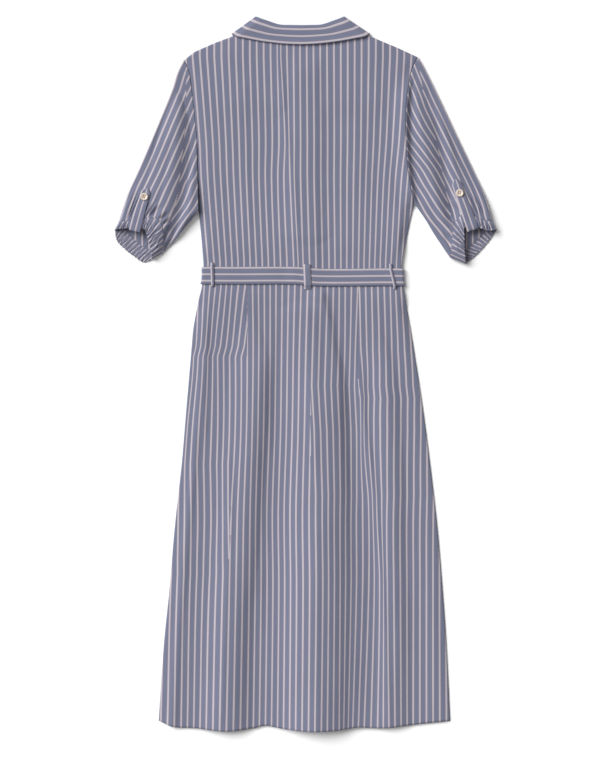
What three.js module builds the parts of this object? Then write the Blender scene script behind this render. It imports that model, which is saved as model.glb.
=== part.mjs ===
import * as THREE from "three";

// A shirt dress laid flat, face down, so that its back is uppermost. Millimetres, +Z up off the
// surface it lies on, +Y toward the collar, +X toward the wearer's right, origin under the middle.

// Cloth and seams
const CLOTH = 1.2; // wall of one ply of the striped cotton with its turnings
const BAND = 1.6; // wall of a doubled band, as in belt and collar
const SEAM = 0.3; // space between two pieces that are sewn together
const LOOSE = 0.8; // air between two plies that lie on each other, away from the seams

// Lengths and levels along the dress
const WAIST_Y = 160;
const HEM_LIFT = 2; // the front hem ends this much above the back one, away from the side seam
const SHOULDER = { left: [-199.5, 517.5], right: [185, 522] };
const UNDERARM_Y = { left: 266, right: 281.5 };

// The outline at the sides: side seams up to the underarms, then the armhole seams.
// Columns: y, x of the left edge, x of the right edge
const SIDES = [
  [-575, -242, 238.5],
  [-450, -233.5, 232.5],
  [-350, -223.5, 225.5],
  [-250, -215, 217],
  [-150, -204, 205.5],
  [-50, -195.5, 192.5],
  [25, -189, 181],
  [75, -184.5, 173],
  [120, -176, 165],
  [145, -170, 160.5],
  [160, -167.5, 159],
  [185, -168, 159.5],
  [237, -172.5, 169.5],
  [268, -175.5, 176],
  [281.5, -176, 178.5],
  [303, -176.5, 174.5],
  [336, -177.5, 169],
  [389, -179, 165.5],
  [443, -184, 166],
  [478, -188, 170.5],
  [500, -191.7, 174.8],
  [517.5, -199.5, 182.3],
  [522, -202, 185],
];

// Hem of the back skirt. Columns: x, y
const HEM = [
  [-242, -572],
  [-218, -582],
  [-185, -584],
  [-131, -588.5],
  [-86, -584],
  [-66, -580],
  [-40, -584.5],
  [0, -588],
  [50, -587],
  [85, -583],
  [123, -584],
  [165, -580],
  [200, -576],
  [238.5, -572.5],
];

// Shoulder seams and neckline of the back bodice. Columns: x, y
const BACK_TOP = [
  [-199.5, 517.5],
  [-182, 531],
  [-150, 545],
  [-121, 555.5],
  [-93, 567],
  [-75, 558],
  [-50, 551.5],
  [-7, 549],
  [35, 551.5],
  [60, 558],
  [78.5, 567],
  [106.5, 556],
  [150, 538],
  [185, 522],
];

// Front opening: the wearer's right front is the outer one, so here it lies beneath the left one.
const OPENING_HALF = 15; // half the overlap of the two fronts
const STEP_FROM = 30; // the inner front climbs onto the outer one from here
const STEP_TO = 16; // to here
const FRONT_NECK_Y = [515, 508, 506, 505, 505]; // neckline at the last columns before the opening

// Shoulder seam and neckline of each front bodice, a row for each column of its grid from the
// shoulder point toward the opening. Columns: x, y
const FRONT_TOP = {
  left: [
    [-199.5, 517.5],
    [-182, 531],
    [-150, 545],
    [-121, 555.5],
    [-93, 567],
    [-80, 546],
    [-60, 527],
  ],
  right: [
    [185, 522],
    [150, 538],
    [128.25, 547],
    [106.5, 556],
    [78.5, 567],
    [68, 543],
    [56, 526],
  ],
};

// Soft folds in the skirt and the bodice. Columns: y, then x of ridge, trough, ridge, trough and so on
const SKIRT_FOLDS = [
  [-585, -223.5, -197, -131, -66.5, 24, 93.5, 143, 195.5],
  [-423, -217, -185.5, -121, -68.5, 21, 100, 146, 189],
  [-274, -203.5, -172.5, -108, -58.5, 24, 100, 144.5, 182.5],
  [-126, -189, -160.5, -94.5, -48.5, 27.5, 93.5, 139.5, 176],
  [22, -177, -152.5, -81.5, -42, 27.5, 85, 129.5, 162.5],
  [141, -159, -147.5, -91.5, -68.5, -9, 40.5, 100, 143],
];
const BODICE_FOLDS = [
  [160, -149, -131, -94.5, -68.5, -15.5, 27.5, 85, 113, 139.5],
  [286, -151, -131, -94.5, -68.5, -22, 27.5, 85, 113, 139.5],
  [418, -149, -131, -103, -75, -35.5, 16, 68.5, 98.5, 136.5],
  [517, -149, -131, -98, -71.5, -25.5, 21, 77, 106.5, 136.5],
];
const SKIRT_RIDGES = [7, 13, 14, 10]; // heights of the skirt's ridges, left to right
const BODICE_RIDGES = [2.5, 4, 4, 3.5, 2.5];
const FRONT_SHARE = 0.66; // share of a fold that the front follows, beneath the back
const AIR_SHARE = 0.2; // share of a fold that is air between front and back
const FLAT_BELOW = 2.2; // a fold lower than this leaves the front flat on the surface

// Belt, belt loops, collar and buttons
const BELT = { width: 28, leftY: 161.3, rightY: 157.2, overlap: 45 };
const BELT_LIFT = 2 * BAND + 3 * SEAM; // how far the fronts rise over the belt beneath them
const COLLAR_LIFT = BAND + 2 * SEAM; // and over the front leaves of the collar
const BUTTON = { radius: 6.2, depth: 2.6, holeRadius: 0.9, holeAt: 1.9 };
const BUTTON_LIFT = BUTTON.depth + SEAM; // and over the front buttons

// Where the fronts start to rise over what is beneath them, are up, are still up, and are down again
const RISE_X = { buttons: [-52, -10, 10, 52], collar: [-155, -126, 113, 141] };
const RISE_Y = { belt: [100, 130, 196, 232], collar: [410, 452], topButton: [500, 530] };
const DOUBLED_TO_Y = [508, 535]; // the back comes down here, past the end of the doubled fronts

// Where folds fade: to nothing at belt and collar, and from soft to full down the skirt
const FADE_Y = { skirtFull: -70, skirtSoft: 150, belt: [110, 145], bodice: [190, 260, 470, 525] };
const SOFT_SHARE = 0.15; // share of a fold's height just below the belt
const EDGE_REACH = { folds: 26, air: 20, neck: 25 }; // how far in from an edge folds and air begin

// Columns: x of the top end, y of the top end, x of the lower end, y of the lower end, width
const BELT_LOOPS = {
  left: [-153.5, 183, -152.5, 143.5, 5],
  centre: [2.5, 180, 3.5, 139, 11.5],
  right: [140.5, 181, 147, 139, 4.5],
};

const FRONT_BUTTONS = { bodiceFrom: 485, skirtFrom: 85, step: 85, bodice: 4, skirt: 6 };

// Sleeves: plan outlines as share of the way along, x, y
const SLEEVES = {
  left: {
    outer: [
      [0, -200.1, 517.5],
      [0.08, -210, 498],
      [0.2, -219.5, 468],
      [0.45, -246.5, 402],
      [0.7, -274.5, 336],
      [0.85, -290, 302],
      [0.93, -300, 273],
      [1, -306.5, 251],
    ],
    inner: [
      [0, -176.1, 266],
      [0.35, -195, 246],
      [0.7, -217, 218],
      [1, -236, 199],
    ],
    cuffSeamBack: [
      [0, -306.5, 251],
      [0.2, -292.5, 250.5],
      [0.4, -278, 250.5],
      [0.6, -258, 257],
      [0.75, -238.5, 250.5],
      [0.88, -233.5, 229],
      [1, -236, 199],
    ],
    cuffHemBack: [
      [0, -314, 237],
      [0.2, -297.5, 239],
      [0.4, -278, 238.5],
      [0.6, -264.5, 237],
      [0.75, -260, 224],
      [0.88, -255.5, 210],
      [1, -252.5, 189.5],
    ],
    cuffSeamFront: [
      [0, -306.5, 251],
      [0.25, -294.5, 234],
      [0.5, -279.5, 219],
      [0.75, -261.5, 206],
      [1, -236, 199],
    ],
    cuffHemFront: [
      [0, -314, 237],
      [0.2, -311, 220.5],
      [0.45, -298.5, 206.5],
      [0.7, -282.5, 194],
      [0.88, -266.5, 184],
      [1, -252.5, 189.5],
    ],
    // Columns: y, then x of ridge, trough, ridge
    folds: [
      [200, -262, -228, -214],
      [250, -258, -222, -205],
      [292, -240, -213, -196],
      [364, -222, -200, -188],
      [455, -207, -200, -192],
      [517, -203, -201, -199],
    ],
    tab: [
      [0, -260.5, 305],
      [0.25, -265, 291],
      [0.6, -273, 264],
      [1, -279.5, 239.5],
    ],
  },
  right: {
    outer: [
      [0, 185.6, 522],
      [0.06, 194, 508],
      [0.2, 214, 468],
      [0.45, 245, 402],
      [0.7, 276.5, 336],
      [0.85, 292, 302],
      [0.94, 302, 275],
      [1, 308, 251],
    ],
    inner: [
      [0, 179.1, 281.5],
      [0.3, 197, 256],
      [0.6, 212, 231],
      [1, 238, 192],
    ],
    cuffSeamBack: [
      [0, 308, 251],
      [0.2, 294.5, 252],
      [0.4, 279, 258.5],
      [0.6, 258, 261],
      [0.75, 244, 245],
      [0.88, 241, 216],
      [1, 238, 192],
    ],
    cuffHemBack: [
      [0, 315.5, 237],
      [0.2, 299.5, 235.5],
      [0.4, 281, 241],
      [0.6, 262, 240],
      [0.75, 261.5, 222],
      [0.88, 262, 203],
      [1, 264, 181],
    ],
    cuffSeamFront: [
      [0, 308, 251],
      [0.25, 294.5, 232],
      [0.5, 275, 212.5],
      [0.75, 255, 197.5],
      [1, 238, 192],
    ],
    cuffHemFront: [
      [0, 315.5, 237],
      [0.35, 299.5, 215],
      [0.7, 280, 194],
      [1, 264, 181],
    ],
    folds: [
      [200, 262, 232, 222],
      [250, 258, 226, 212],
      [328, 240, 214, 196],
      [400, 219, 200, 184],
      [460, 203, 191, 180],
      [522, 189, 187, 186],
    ],
    tab: [
      [0, 247, 320],
      [0.25, 252, 303],
      [0.6, 263, 272],
      [1, 273.5, 241],
    ],
  },
};
const SLEEVE_RIDGES = [3.5, 2.5]; // on either side of the long crease
const SLEEVE = { height: 3.6, mouthHeight: 11, opensFrom: 330, opensTo: 245, armholeGap: 0.6, cuffGap: 1.9 };
const EDGE_SHARES = [0, 0.02, 0.06, 0.14, 0.28, 0.42, 0.56, 0.7, 0.82, 0.92, 0.98, 1];
const TAB = { width: 19, buttonAt: 0.25, turnIn: 22 };

// Collar, one side from the opening at the front round to the middle of the back.
// Columns: share of the way, fold x, y, z, then outer edge x, y, z; both mirror about the back's middle
const COLLAR_MIDDLE_X = -7.5;
const COLLAR = [
  [0, 8, 521.5, 0.95, 52, 457, 0.95],
  [0.18, 46, 537, 0.95, 86, 496, 0.95],
  [0.34, 69, 560, 0.95, 109, 534, 0.95],
  [0.44, 74, 577, 0.95, 112.5, 553, 0.95],
  [0.49, 77.5, 586, 1.1, 116, 560.5, 1.1],
  [0.52, 78.5, 588, 3.9, 117, 561.5, 3.9],
  [0.55, 77.5, 588, 6.6, 115, 560.5, 6.6],
  [0.6, 71, 586.5, 7.4, 109, 557, 7.3],
  [0.68, 58, 582.5, 7.4, 94, 554.5, 7.2],
  [0.78, 38, 577, 7.4, 66, 549.5, 7.2],
  [0.9, 14, 573.8, 7.4, 28, 544.8, 7.2],
  [1, 0, 573.3, 7.4, 0, 543.5, 7.2],
];
// Columns: share of the way, neckline x, y, z, then top edge x, y, z
const STAND = [
  [0, 4, 507, 2.5, 4, 519, 2.5],
  [0.2, 42, 524, 2.5, 42, 534, 2.5],
  [0.38, 72, 550, 2.5, 66, 559, 2.5],
  [0.5, 82, 576, 3.2, 73, 583, 3.2],
  [0.56, 80, 574.5, 4.9, 68, 583, 5],
  [0.68, 66, 562.5, 4.9, 55, 579, 5],
  [0.82, 40, 554, 4.9, 34, 574, 5],
  [1, 0, 551, 4.9, 0, 571, 5],
];

const clamp = (t) => Math.min(1, Math.max(0, t));

// A rise from 0 to 1 between two places
function ease(from, to, t) {
  const s = clamp((t - from) / (to - from));
  return s * s * (3 - 2 * s);
}

// A hill of 1 with soft feet outside its two ends
function hill(t, from, fullFrom, fullTo, to) {
  return ease(from, fullFrom, t) * (1 - ease(fullTo, to, t));
}

// The rows of a table on either side of t, and the share of the way between them
function between(table, t) {
  let row = 0;
  while (row < table.length - 2 && t > table[row + 1][0]) row += 1;
  const span = table[row + 1][0] - table[row][0];
  return { row, span, share: clamp((t - table[row][0]) / span) };
}

// The later columns of a table at t, straight from row to row
function lineAt(table, t) {
  const { row, share } = between(table, t);
  return table[row].slice(1).map((value, k) => value + (table[row + 1][k + 1] - value) * share);
}

// The later columns of a table at t, on a smooth curve through its rows
function curveAt(table, t) {
  const { row, span, share: s } = between(table, t);
  const slope = (k, column) => {
    const before = table[Math.max(k - 1, 0)];
    const after = table[Math.min(k + 1, table.length - 1)];
    return (after[column] - before[column]) / (after[0] - before[0]);
  };
  return table[row].slice(1).map((value, k) => {
    const column = k + 1;
    const start = (2 * s - 3) * s * s + 1;
    const leave = s * (1 - s) * (1 - s) * span;
    const arrive = s * s * (s - 1) * span;
    return (
      start * value +
      (1 - start) * table[row + 1][column] +
      leave * slope(row, column) +
      arrive * slope(row + 1, column)
    );
  });
}

const mix = (a, b, share) => a.map((value, k) => value + (b[k] - value) * share);
const steps = (count) => Array.from({ length: count + 1 }, (_, k) => k / count);

// A patch between four boundary curves: first and last run across, start and end run along
function patch(first, last, start, end) {
  return (u, v) => {
    const along = mix(start(v), end(v), u);
    const across = mix(first(u), last(u), v);
    const corners = mix(mix(first(0), first(1), u), mix(last(0), last(1), u), v);
    return along.map((value, k) => value + across[k] - corners[k]);
  };
}

// A closed geometry between two grids of points, one on each face, joined round their rims
function wallBetween(top, bottom, closed) {
  const rows = top.length;
  const columns = top[0].length;
  const at = (face, row, column) => (face * rows + row) * columns + (column % columns);
  const index = [];
  const quad = (a, b, c, d) => index.push(a, b, c, a, c, d);
  const lastColumn = closed ? columns : columns - 1;
  for (let c = 0; c < lastColumn; c += 1) {
    for (let r = 0; r < rows - 1; r += 1) {
      quad(at(0, r, c), at(0, r, c + 1), at(0, r + 1, c + 1), at(0, r + 1, c));
      quad(at(1, r, c), at(1, r + 1, c), at(1, r + 1, c + 1), at(1, r, c + 1));
    }
    quad(at(1, 0, c), at(1, 0, c + 1), at(0, 0, c + 1), at(0, 0, c));
    quad(at(0, rows - 1, c), at(0, rows - 1, c + 1), at(1, rows - 1, c + 1), at(1, rows - 1, c));
  }
  for (let r = 0; r < rows - 1 && !closed; r += 1) {
    quad(at(0, r, 0), at(0, r + 1, 0), at(1, r + 1, 0), at(1, r, 0));
    quad(at(1, r, columns - 1), at(1, r + 1, columns - 1), at(0, r + 1, columns - 1), at(0, r, columns - 1));
  }
  const points = [...top.flat(), ...bottom.flat()];
  return facingOut(points, index);
}

// The geometry of points and triangles, with every triangle turned over if they face inward
function facingOut(points, index) {
  let volume = 0;
  for (let i = 0; i < index.length; i += 3) {
    const [a, b, c] = [0, 1, 2].map((k) => new THREE.Vector3(...points[index[i + k]]));
    volume += a.dot(b.cross(c));
  }
  const geometry = new THREE.BufferGeometry();
  geometry.setAttribute("position", new THREE.Float32BufferAttribute(points.flat(), 3));
  geometry.setIndex(volume < 0 ? index.slice().reverse() : index);
  geometry.computeVertexNormals();
  return geometry;
}

// A grid of middle points made into a wall of the given thickness
function thicken(grid, thickness) {
  const point = (r, c) => {
    const row = grid[Math.min(grid.length - 1, Math.max(0, r))];
    return new THREE.Vector3(...row[Math.min(row.length - 1, Math.max(0, c))]);
  };
  const moved = (side) =>
    grid.map((row, r) =>
      row.map((_, c) => {
        const across = point(r, c + 1).sub(point(r, c - 1));
        const along = point(r + 1, c).sub(point(r - 1, c));
        const out = across.cross(along).normalize();
        return point(r, c).addScaledVector(out, (side * thickness) / 2).toArray();
      }),
    );
  return wallBetween(moved(1), moved(-1), false);
}

const dress = new THREE.Group();

function add(name, geometry, colour, roughness = 0.85) {
  const material = new THREE.MeshStandardMaterial({ color: colour, roughness, metalness: 0 });
  const mesh = new THREE.Mesh(geometry, material);
  mesh.name = name;
  dress.add(mesh);
}

const STRIPED = 0x8f8d9e;
const BANDS = 0x98969f;
const SHELL_BUTTON = 0xd7c6be;

// Heights of the body's plies

const leftEdge = (y) => curveAt(SIDES, y)[0];
const rightEdge = (y) => curveAt(SIDES, y)[1];

// Height of the soft folds, from the rows of ridge and trough places
function foldHeight(table, heights, x, y) {
  const places = curveAt(table, y);
  const next = places.findIndex((place) => place > x);
  if (next === 0) return heights[0];
  const from = next < 0 ? places.length - 1 : next - 1;
  const level = (k) => (k % 2 === 0 ? heights[k / 2] : 0);
  if (next < 0) return level(from);
  return level(from) + (level(next) - level(from)) * ease(places[from], places[next], x);
}

// How far inside the side edges a place is, as a rise from 0 at the edge to 1
function inset(x, y, reach) {
  return ease(0, reach, Math.min(x - leftEdge(y), rightEdge(y) - x));
}

// Folds of the body: soft in the bodice, deeper down the skirt, none under collar and belt
function folds(x, y) {
  const away = inset(x, y, EDGE_REACH.folds);
  if (y > WAIST_Y) return foldHeight(BODICE_FOLDS, BODICE_RIDGES, x, y) * hill(y, ...FADE_Y.bodice) * away;
  const deepening = 1 - ease(FADE_Y.skirtFull, FADE_Y.skirtSoft, y);
  const share = (SOFT_SHARE + (1 - SOFT_SHARE) * deepening) * (1 - ease(...FADE_Y.belt, y));
  return foldHeight(SKIRT_FOLDS, SKIRT_RIDGES, x, y) * share * away;
}

// What the outer front rises over: buttons down the opening, belt round the waist, collar leaves
function under(x, y) {
  const buttons = BUTTON_LIFT * hill(x, ...RISE_X.buttons) * (1 - ease(...RISE_Y.topButton, y));
  const belt = BELT_LIFT * hill(y, ...RISE_Y.belt);
  const collar = COLLAR_LIFT * hill(x, ...RISE_X.collar) * ease(...RISE_Y.collar, y);
  return Math.max(buttons, belt, collar);
}

const PLY = CLOTH + SEAM;
const outerFront = (x, y) => Math.max(0, FRONT_SHARE * folds(x, y) - FLAT_BELOW) + under(x, y);
const innerFront = (x, y) => outerFront(x, y) + PLY * ease(-STEP_FROM, -STEP_TO, x);

function backTopY(x) {
  return lineAt(BACK_TOP, x)[0];
}

// Lower face of the back: over both fronts, with more air away from the seams and in the folds
function back(x, y) {
  const doubled = hill(x, -STEP_FROM, -STEP_TO, STEP_TO, STEP_FROM) * (1 - ease(...DOUBLED_TO_Y, y));
  const overlap = PLY * doubled;
  const neck = 1 - ease(backTopY(x) - EDGE_REACH.neck, backTopY(x), y);
  const away = inset(x, y, EDGE_REACH.air) * neck;
  const air = (LOOSE + AIR_SHARE * folds(x, y)) * away;
  return outerFront(x, y) + PLY + overlap + air;
}

// A wall that stands on base(x, y), over the places of a patch
function panel(name, across, along, place, base) {
  const grid = (lift) =>
    along.map((v) =>
      across.map((u) => {
        const [x, y] = place(u, v);
        return [x, y, base(x, y) + lift];
      }),
    );
  add(name, wallBetween(grid(CLOTH), grid(0), false), STRIPED);
}

const sideAt = (edge, fromY, toY) => (v) => {
  const y = fromY + (toY - fromY) * v;
  return [edge(y), y];
};

// Back skirt and back bodice

const SKIRT_ROWS = [...steps(11).map((v) => v * 0.905), 0.94, 0.97, 1]; // closer under the belt
const BODICE_ROWS = [...steps(10).map((v) => v * 0.92), 0.96, 1]; // closer at the shoulders
const hemAt = (x) => curveAt(HEM, x)[0];
const hemY = { left: HEM[0][1], right: HEM[HEM.length - 1][1] };

function skirtBackHem(u) {
  const x = leftEdge(hemY.left) + (rightEdge(hemY.right) - leftEdge(hemY.left)) * u;
  return [x, hemAt(x)];
}

function waistLine(y, fromX, toX) {
  return (u) => [fromX + (toX - fromX) * u, y];
}

const skirtTop = WAIST_Y - SEAM / 2;
const bodiceFoot = WAIST_Y + SEAM / 2;

panel(
  "skirt_back",
  steps(25),
  SKIRT_ROWS,
  patch(
    skirtBackHem,
    waistLine(skirtTop, leftEdge(skirtTop), rightEdge(skirtTop)),
    sideAt(leftEdge, hemY.left, skirtTop),
    sideAt(rightEdge, hemY.right, skirtTop),
  ),
  back,
);

const backSpan = SHOULDER.right[0] - SHOULDER.left[0];
const WIDE_COLUMN = 0.1; // a share of the width past which a column is halved
const backColumns = BACK_TOP.flatMap(([x], k) => {
  const share = (x - SHOULDER.left[0]) / backSpan;
  const last = k === 0 ? share : (BACK_TOP[k - 1][0] - SHOULDER.left[0]) / backSpan;
  return share - last > WIDE_COLUMN ? [(share + last) / 2, share] : [share];
});

panel(
  "bodice_back",
  backColumns,
  BODICE_ROWS,
  patch(
    waistLine(bodiceFoot, leftEdge(bodiceFoot), rightEdge(bodiceFoot)),
    (u) => {
      const x = SHOULDER.left[0] + backSpan * u;
      return [x, backTopY(x)];
    },
    sideAt(leftEdge, bodiceFoot, SHOULDER.left[1]),
    sideAt(rightEdge, bodiceFoot, SHOULDER.right[1]),
  ),
  back,
);

// Fronts: a left and a right one to bodice and skirt, overlapped down the opening.
// Their columns run from the side seam to the opening, closer where one climbs onto the other.

const OPENING_X = [STEP_FROM + 12, STEP_FROM - 2, STEP_TO, 0];

for (const side of ["left", "right"]) {
  const sign = side === "left" ? -1 : 1;
  const edge = side === "left" ? leftEdge : rightEdge;
  const base = side === "left" ? innerFront : outerFront;
  const openingEdge = -sign * OPENING_HALF;
  const sideColumns = FRONT_TOP[side].length;
  const lastColumn = sideColumns + OPENING_X.length;
  const columns = steps(lastColumn);
  const nearOpening = [...OPENING_X.map((x) => sign * x), openingEdge];
  const columnX = (sideX) => [
    [0, sideX],
    ...nearOpening.map((x, k) => [(sideColumns + k) / lastColumn, x]),
  ];
  const level = (y) => (u) => [lineAt(columnX(edge(y)), u)[0], y];
  const opening = (fromY, toY) => (v) => [openingEdge, fromY + (toY - fromY) * v];
  const leftToRight = (place) => (u, v) => place(side === "left" ? u : 1 - u, v);
  const frontHem = (u) => {
    const x = lineAt(columnX(edge(hemY[side])), u)[0];
    return [x, hemAt(x) + HEM_LIFT * ease(0, 0.2, u)];
  };
  panel(
    "skirt_front_" + side,
    columns,
    SKIRT_ROWS,
    leftToRight(
      patch(
        frontHem,
        level(skirtTop),
        sideAt(edge, hemY[side], skirtTop),
        opening(hemAt(openingEdge) + HEM_LIFT, skirtTop),
      ),
    ),
    base,
  );
  const neckline = nearOpening.map((x, k) => [x, FRONT_NECK_Y[k]]);
  const top = [...FRONT_TOP[side], ...neckline].map((place, k) => [k / lastColumn, ...place]);
  panel(
    "bodice_front_" + side,
    columns,
    BODICE_ROWS,
    leftToRight(
      patch(
        level(bodiceFoot),
        (u) => lineAt(top, u),
        sideAt(edge, bodiceFoot, SHOULDER[side][1]),
        opening(bodiceFoot, FRONT_NECK_Y[OPENING_X.length]),
      ),
    ),
    base,
  );
}

// Sleeves: a flattened tube from the armhole seam to the elastic, and the gathered cuff below it.

// Height of the upper face of a sleeve, which opens toward its cuff
function sleeveTop(sleeve, x, y) {
  const opens = 1 - ease(SLEEVE.opensTo, SLEEVE.opensFrom, y);
  const inwards = x < 0 ? x : -x;
  const table = sleeve.folds.map(([at, ...places]) => [at, ...places.map((p) => (p < 0 ? p : -p))]);
  const raised = foldHeight(table, SLEEVE_RIDGES, inwards, y) * (1 - ease(440, 500, y));
  return SLEEVE.height + (SLEEVE.mouthHeight - SLEEVE.height) * opens + raised;
}

// A flattened tube: its upper ply follows one patch and its lower ply another
function flatTube(name, upper, lower, along, topAt) {
  const ring = (v, inner) => {
    const width = Math.hypot(...mix(upper(0, v), upper(1, v).map((value) => -value), 0.5)) * 2;
    const wall = inner ? CLOTH : 0;
    const pull = (1.3 * wall) / width;
    const half = (place, share, up) => {
      const [x, y] = place(pull + share * (1 - 2 * pull), v);
      const height = topAt(x, y);
      const reach = (Math.min(share, 1 - share) * width) / (height / 2);
      const round = Math.sqrt(1 - (1 - Math.min(1, reach)) ** 2);
      const swell = Math.max(0.3, round) * (height / 2 - wall);
      return [x, y, height / 2 + (up ? swell : -swell)];
    };
    return [
      ...EDGE_SHARES.map((share) => half(upper, share, true)),
      ...EDGE_SHARES.toReversed().map((share) => half(lower, share, false)),
    ];
  };
  const outerFace = along.map((v) => ring(v, false));
  const innerFace = along.map((v) => ring(v, true));
  add(name, wallBetween(outerFace, innerFace, true), STRIPED);
}

for (const side of ["left", "right"]) {
  const sleeve = SLEEVES[side];
  const sign = side === "left" ? -1 : 1;
  const edge = side === "left" ? leftEdge : rightEdge;
  const shoulderY = SHOULDER[side][1];
  const armhole = (u) => {
    const y = shoulderY + (UNDERARM_Y[side] - shoulderY) * u;
    return [edge(y) + sign * SLEEVE.armholeGap, y];
  };
  const curve = (table) => (t) => curveAt(table, t);
  const topAt = (x, y) => sleeveTop(sleeve, x, y);
  flatTube(
    "sleeve_" + side,
    patch(armhole, curve(sleeve.cuffSeamBack), curve(sleeve.outer), curve(sleeve.inner)),
    patch(armhole, curve(sleeve.cuffSeamFront), curve(sleeve.outer), curve(sleeve.inner)),
    steps(9),
    topAt,
  );
  // The cuff starts a seam's width below the sleeve.
  const cuffRim = (place) => {
    const seam = { back: curve(sleeve.cuffSeamBack), front: curve(sleeve.cuffSeamFront) }[place];
    const hem = { back: curve(sleeve.cuffHemBack), front: curve(sleeve.cuffHemFront) }[place];
    return (u, v) => {
      const start = seam(u);
      const end = hem(u);
      const length = Math.hypot(end[0] - start[0], end[1] - start[1]);
      const skipped = SLEEVE.cuffGap / length;
      return mix(start, end, skipped + v * (1 - skipped));
    };
  };
  flatTube("cuff_" + side, cuffRim("back"), cuffRim("front"), steps(3), topAt);

  // The tab lies on the sleeve, goes round the mouth's edge and ends inside it.
  const tabPath = steps(8).map((t) => curveAt(sleeve.tab, t));
  const [endX, endY] = tabPath[tabPath.length - 1];
  const [beforeX, beforeY] = tabPath[tabPath.length - 2];
  const runLength = Math.hypot(endX - beforeX, endY - beforeY);
  const run = [(endX - beforeX) / runLength, (endY - beforeY) / runLength];
  const lift = 2 * SEAM + CLOTH / 2;
  // Columns: how far past the hem along the tab, and the level over the face of the sleeve
  const turn = [
    [4.8, -0.9],
    [4.2, -2.8],
    [-1.5, -CLOTH - lift - 0.4],
    [-TAB.turnIn, -CLOTH - lift - 0.6],
  ];
  const path = [
    ...tabPath.map(([x, y]) => [x, y, lift]),
    ...turn.map(([past, level]) => [endX + past * run[0], endY + past * run[1], level]),
  ];
  const strip = path.map(([x, y, level]) =>
    [-1, -0.5, 0, 0.5, 1].map((k) => {
      const px = x + (k * TAB.width) / 2;
      return [px, y, topAt(px, y) + level];
    }),
  );
  add("tab_" + side, thicken(strip, CLOTH), BANDS);

  const [buttonX, buttonY] = curveAt(sleeve.tab, TAB.buttonAt);
  const beneath = [-1, 0, 1].map((k) => topAt(buttonX + k * BUTTON.radius, buttonY));
  const buttonZ = Math.max(...beneath) + lift + CLOTH / 2 + 3 * SEAM;
  add("tab_button_" + side, button(buttonX, buttonY, buttonZ, 16), SHELL_BUTTON, 0.4);
}

// A flat four-hole button standing on z
function button(x, y, z, sides) {
  const corner = (radius, k, count) => {
    const angle = (2 * Math.PI * k) / count;
    return [radius * Math.cos(angle), radius * Math.sin(angle)];
  };
  const outline = (radius, count, middle) =>
    steps(count - 1).map((_, k) => {
      const [dx, dy] = corner(radius, k, count);
      return new THREE.Vector2(middle[0] + dx, middle[1] + dy);
    });
  const shape = new THREE.Shape(outline(BUTTON.radius, sides, [0, 0]));
  for (const k of [0, 1, 2, 3]) {
    const middle = corner(BUTTON.holeAt, k + 0.5, 4);
    shape.holes.push(new THREE.Path(outline(BUTTON.holeRadius, 5, middle)));
  }
  const disc = new THREE.ExtrudeGeometry(shape, { depth: BUTTON.depth, bevelEnabled: false });
  return disc.translate(x, y, z);
}

// Buttons down the front opening, against the lower face of the outer front, wherever it rises

const buttonPlaces = [
  ...steps(FRONT_BUTTONS.bodice - 1).map((_, k) => FRONT_BUTTONS.bodiceFrom - k * FRONT_BUTTONS.step),
  ...steps(FRONT_BUTTONS.skirt - 1).map((_, k) => FRONT_BUTTONS.skirtFrom - k * FRONT_BUTTONS.step),
];
buttonPlaces.forEach((y, k) => {
  const above = [-1, 0, 1].map((side) => outerFront(side * BUTTON.radius, y));
  const z = Math.max(0, Math.min(...above) - BUTTON.depth - 2 * SEAM);
  add("front_button_" + (k + 1), button(0, y, z, 12), SHELL_BUTTON, 0.4);
});

// Belt: one strip round the waist, over the back and under the fronts, its ends overlapped in front

const beltY = (x) => BELT.leftY + (BELT.rightY - BELT.leftY) * clamp((x + 170) / 330);

// Top of the back within the belt's width
function waistTop(x) {
  const heights = steps(8).map((share) => back(x, beltY(x) + (share - 0.5) * (BELT.width + 6)));
  return Math.max(...heights) + CLOTH;
}

const beltOnBack = (x) => waistTop(x) + 2 * SEAM + BAND / 2;
const beltBelow = BAND / 2;
const beltEnds = { left: leftEdge(WAIST_Y) + 4, right: rightEdge(WAIST_Y) - 4 };
const beltAcross = steps(22).map((t) => beltEnds.left + (beltEnds.right - beltEnds.left) * t);
// Columns: x in from the end of the flat stretch, then z, round the edge of the dress from front to back
const beltTurn = (endX) => {
  const top = beltOnBack(endX);
  return [
    [0, beltBelow],
    [5.2, beltBelow + 0.7],
    [7, (beltBelow + top) / 2],
    [5.6, top - 0.8],
  ];
};
const turned = (endX, sign) =>
  beltTurn(endX).map(([out, z]) => ({ x: endX + sign * out, z, follows: out > 0 }));
const flat = (x, z) => ({ x, z, follows: false });
const beltPath = [
  flat(BELT.overlap, beltBelow + BAND + SEAM),
  flat(0, beltBelow + BAND + SEAM),
  flat(-BELT.overlap, beltBelow + BAND + SEAM),
  flat(-BELT.overlap - 28, beltBelow),
  ...turned(beltEnds.left, -1),
  ...beltAcross.map((x) => flat(x, beltOnBack(x))),
  ...turned(beltEnds.right, 1).reverse(),
  flat(BELT.overlap + 28, beltBelow),
  flat(0, beltBelow),
  flat(-BELT.overlap + 4, beltBelow),
];
// Where the belt goes round the edge, it leans with the side seams.
const beltStrip = beltPath.map(({ x, z, follows }) =>
  [-1, 1].map((k) => {
    const y = beltY(x) + (k * BELT.width) / 2;
    const edge = x < 0 ? leftEdge : rightEdge;
    const lean = follows ? edge(y) - edge(WAIST_Y) : 0;
    return [x + lean, y, z];
  }),
);
add("belt", thicken(beltStrip, BAND), BANDS);

// Belt loops: strips from bodice to skirt, over the belt

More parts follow.
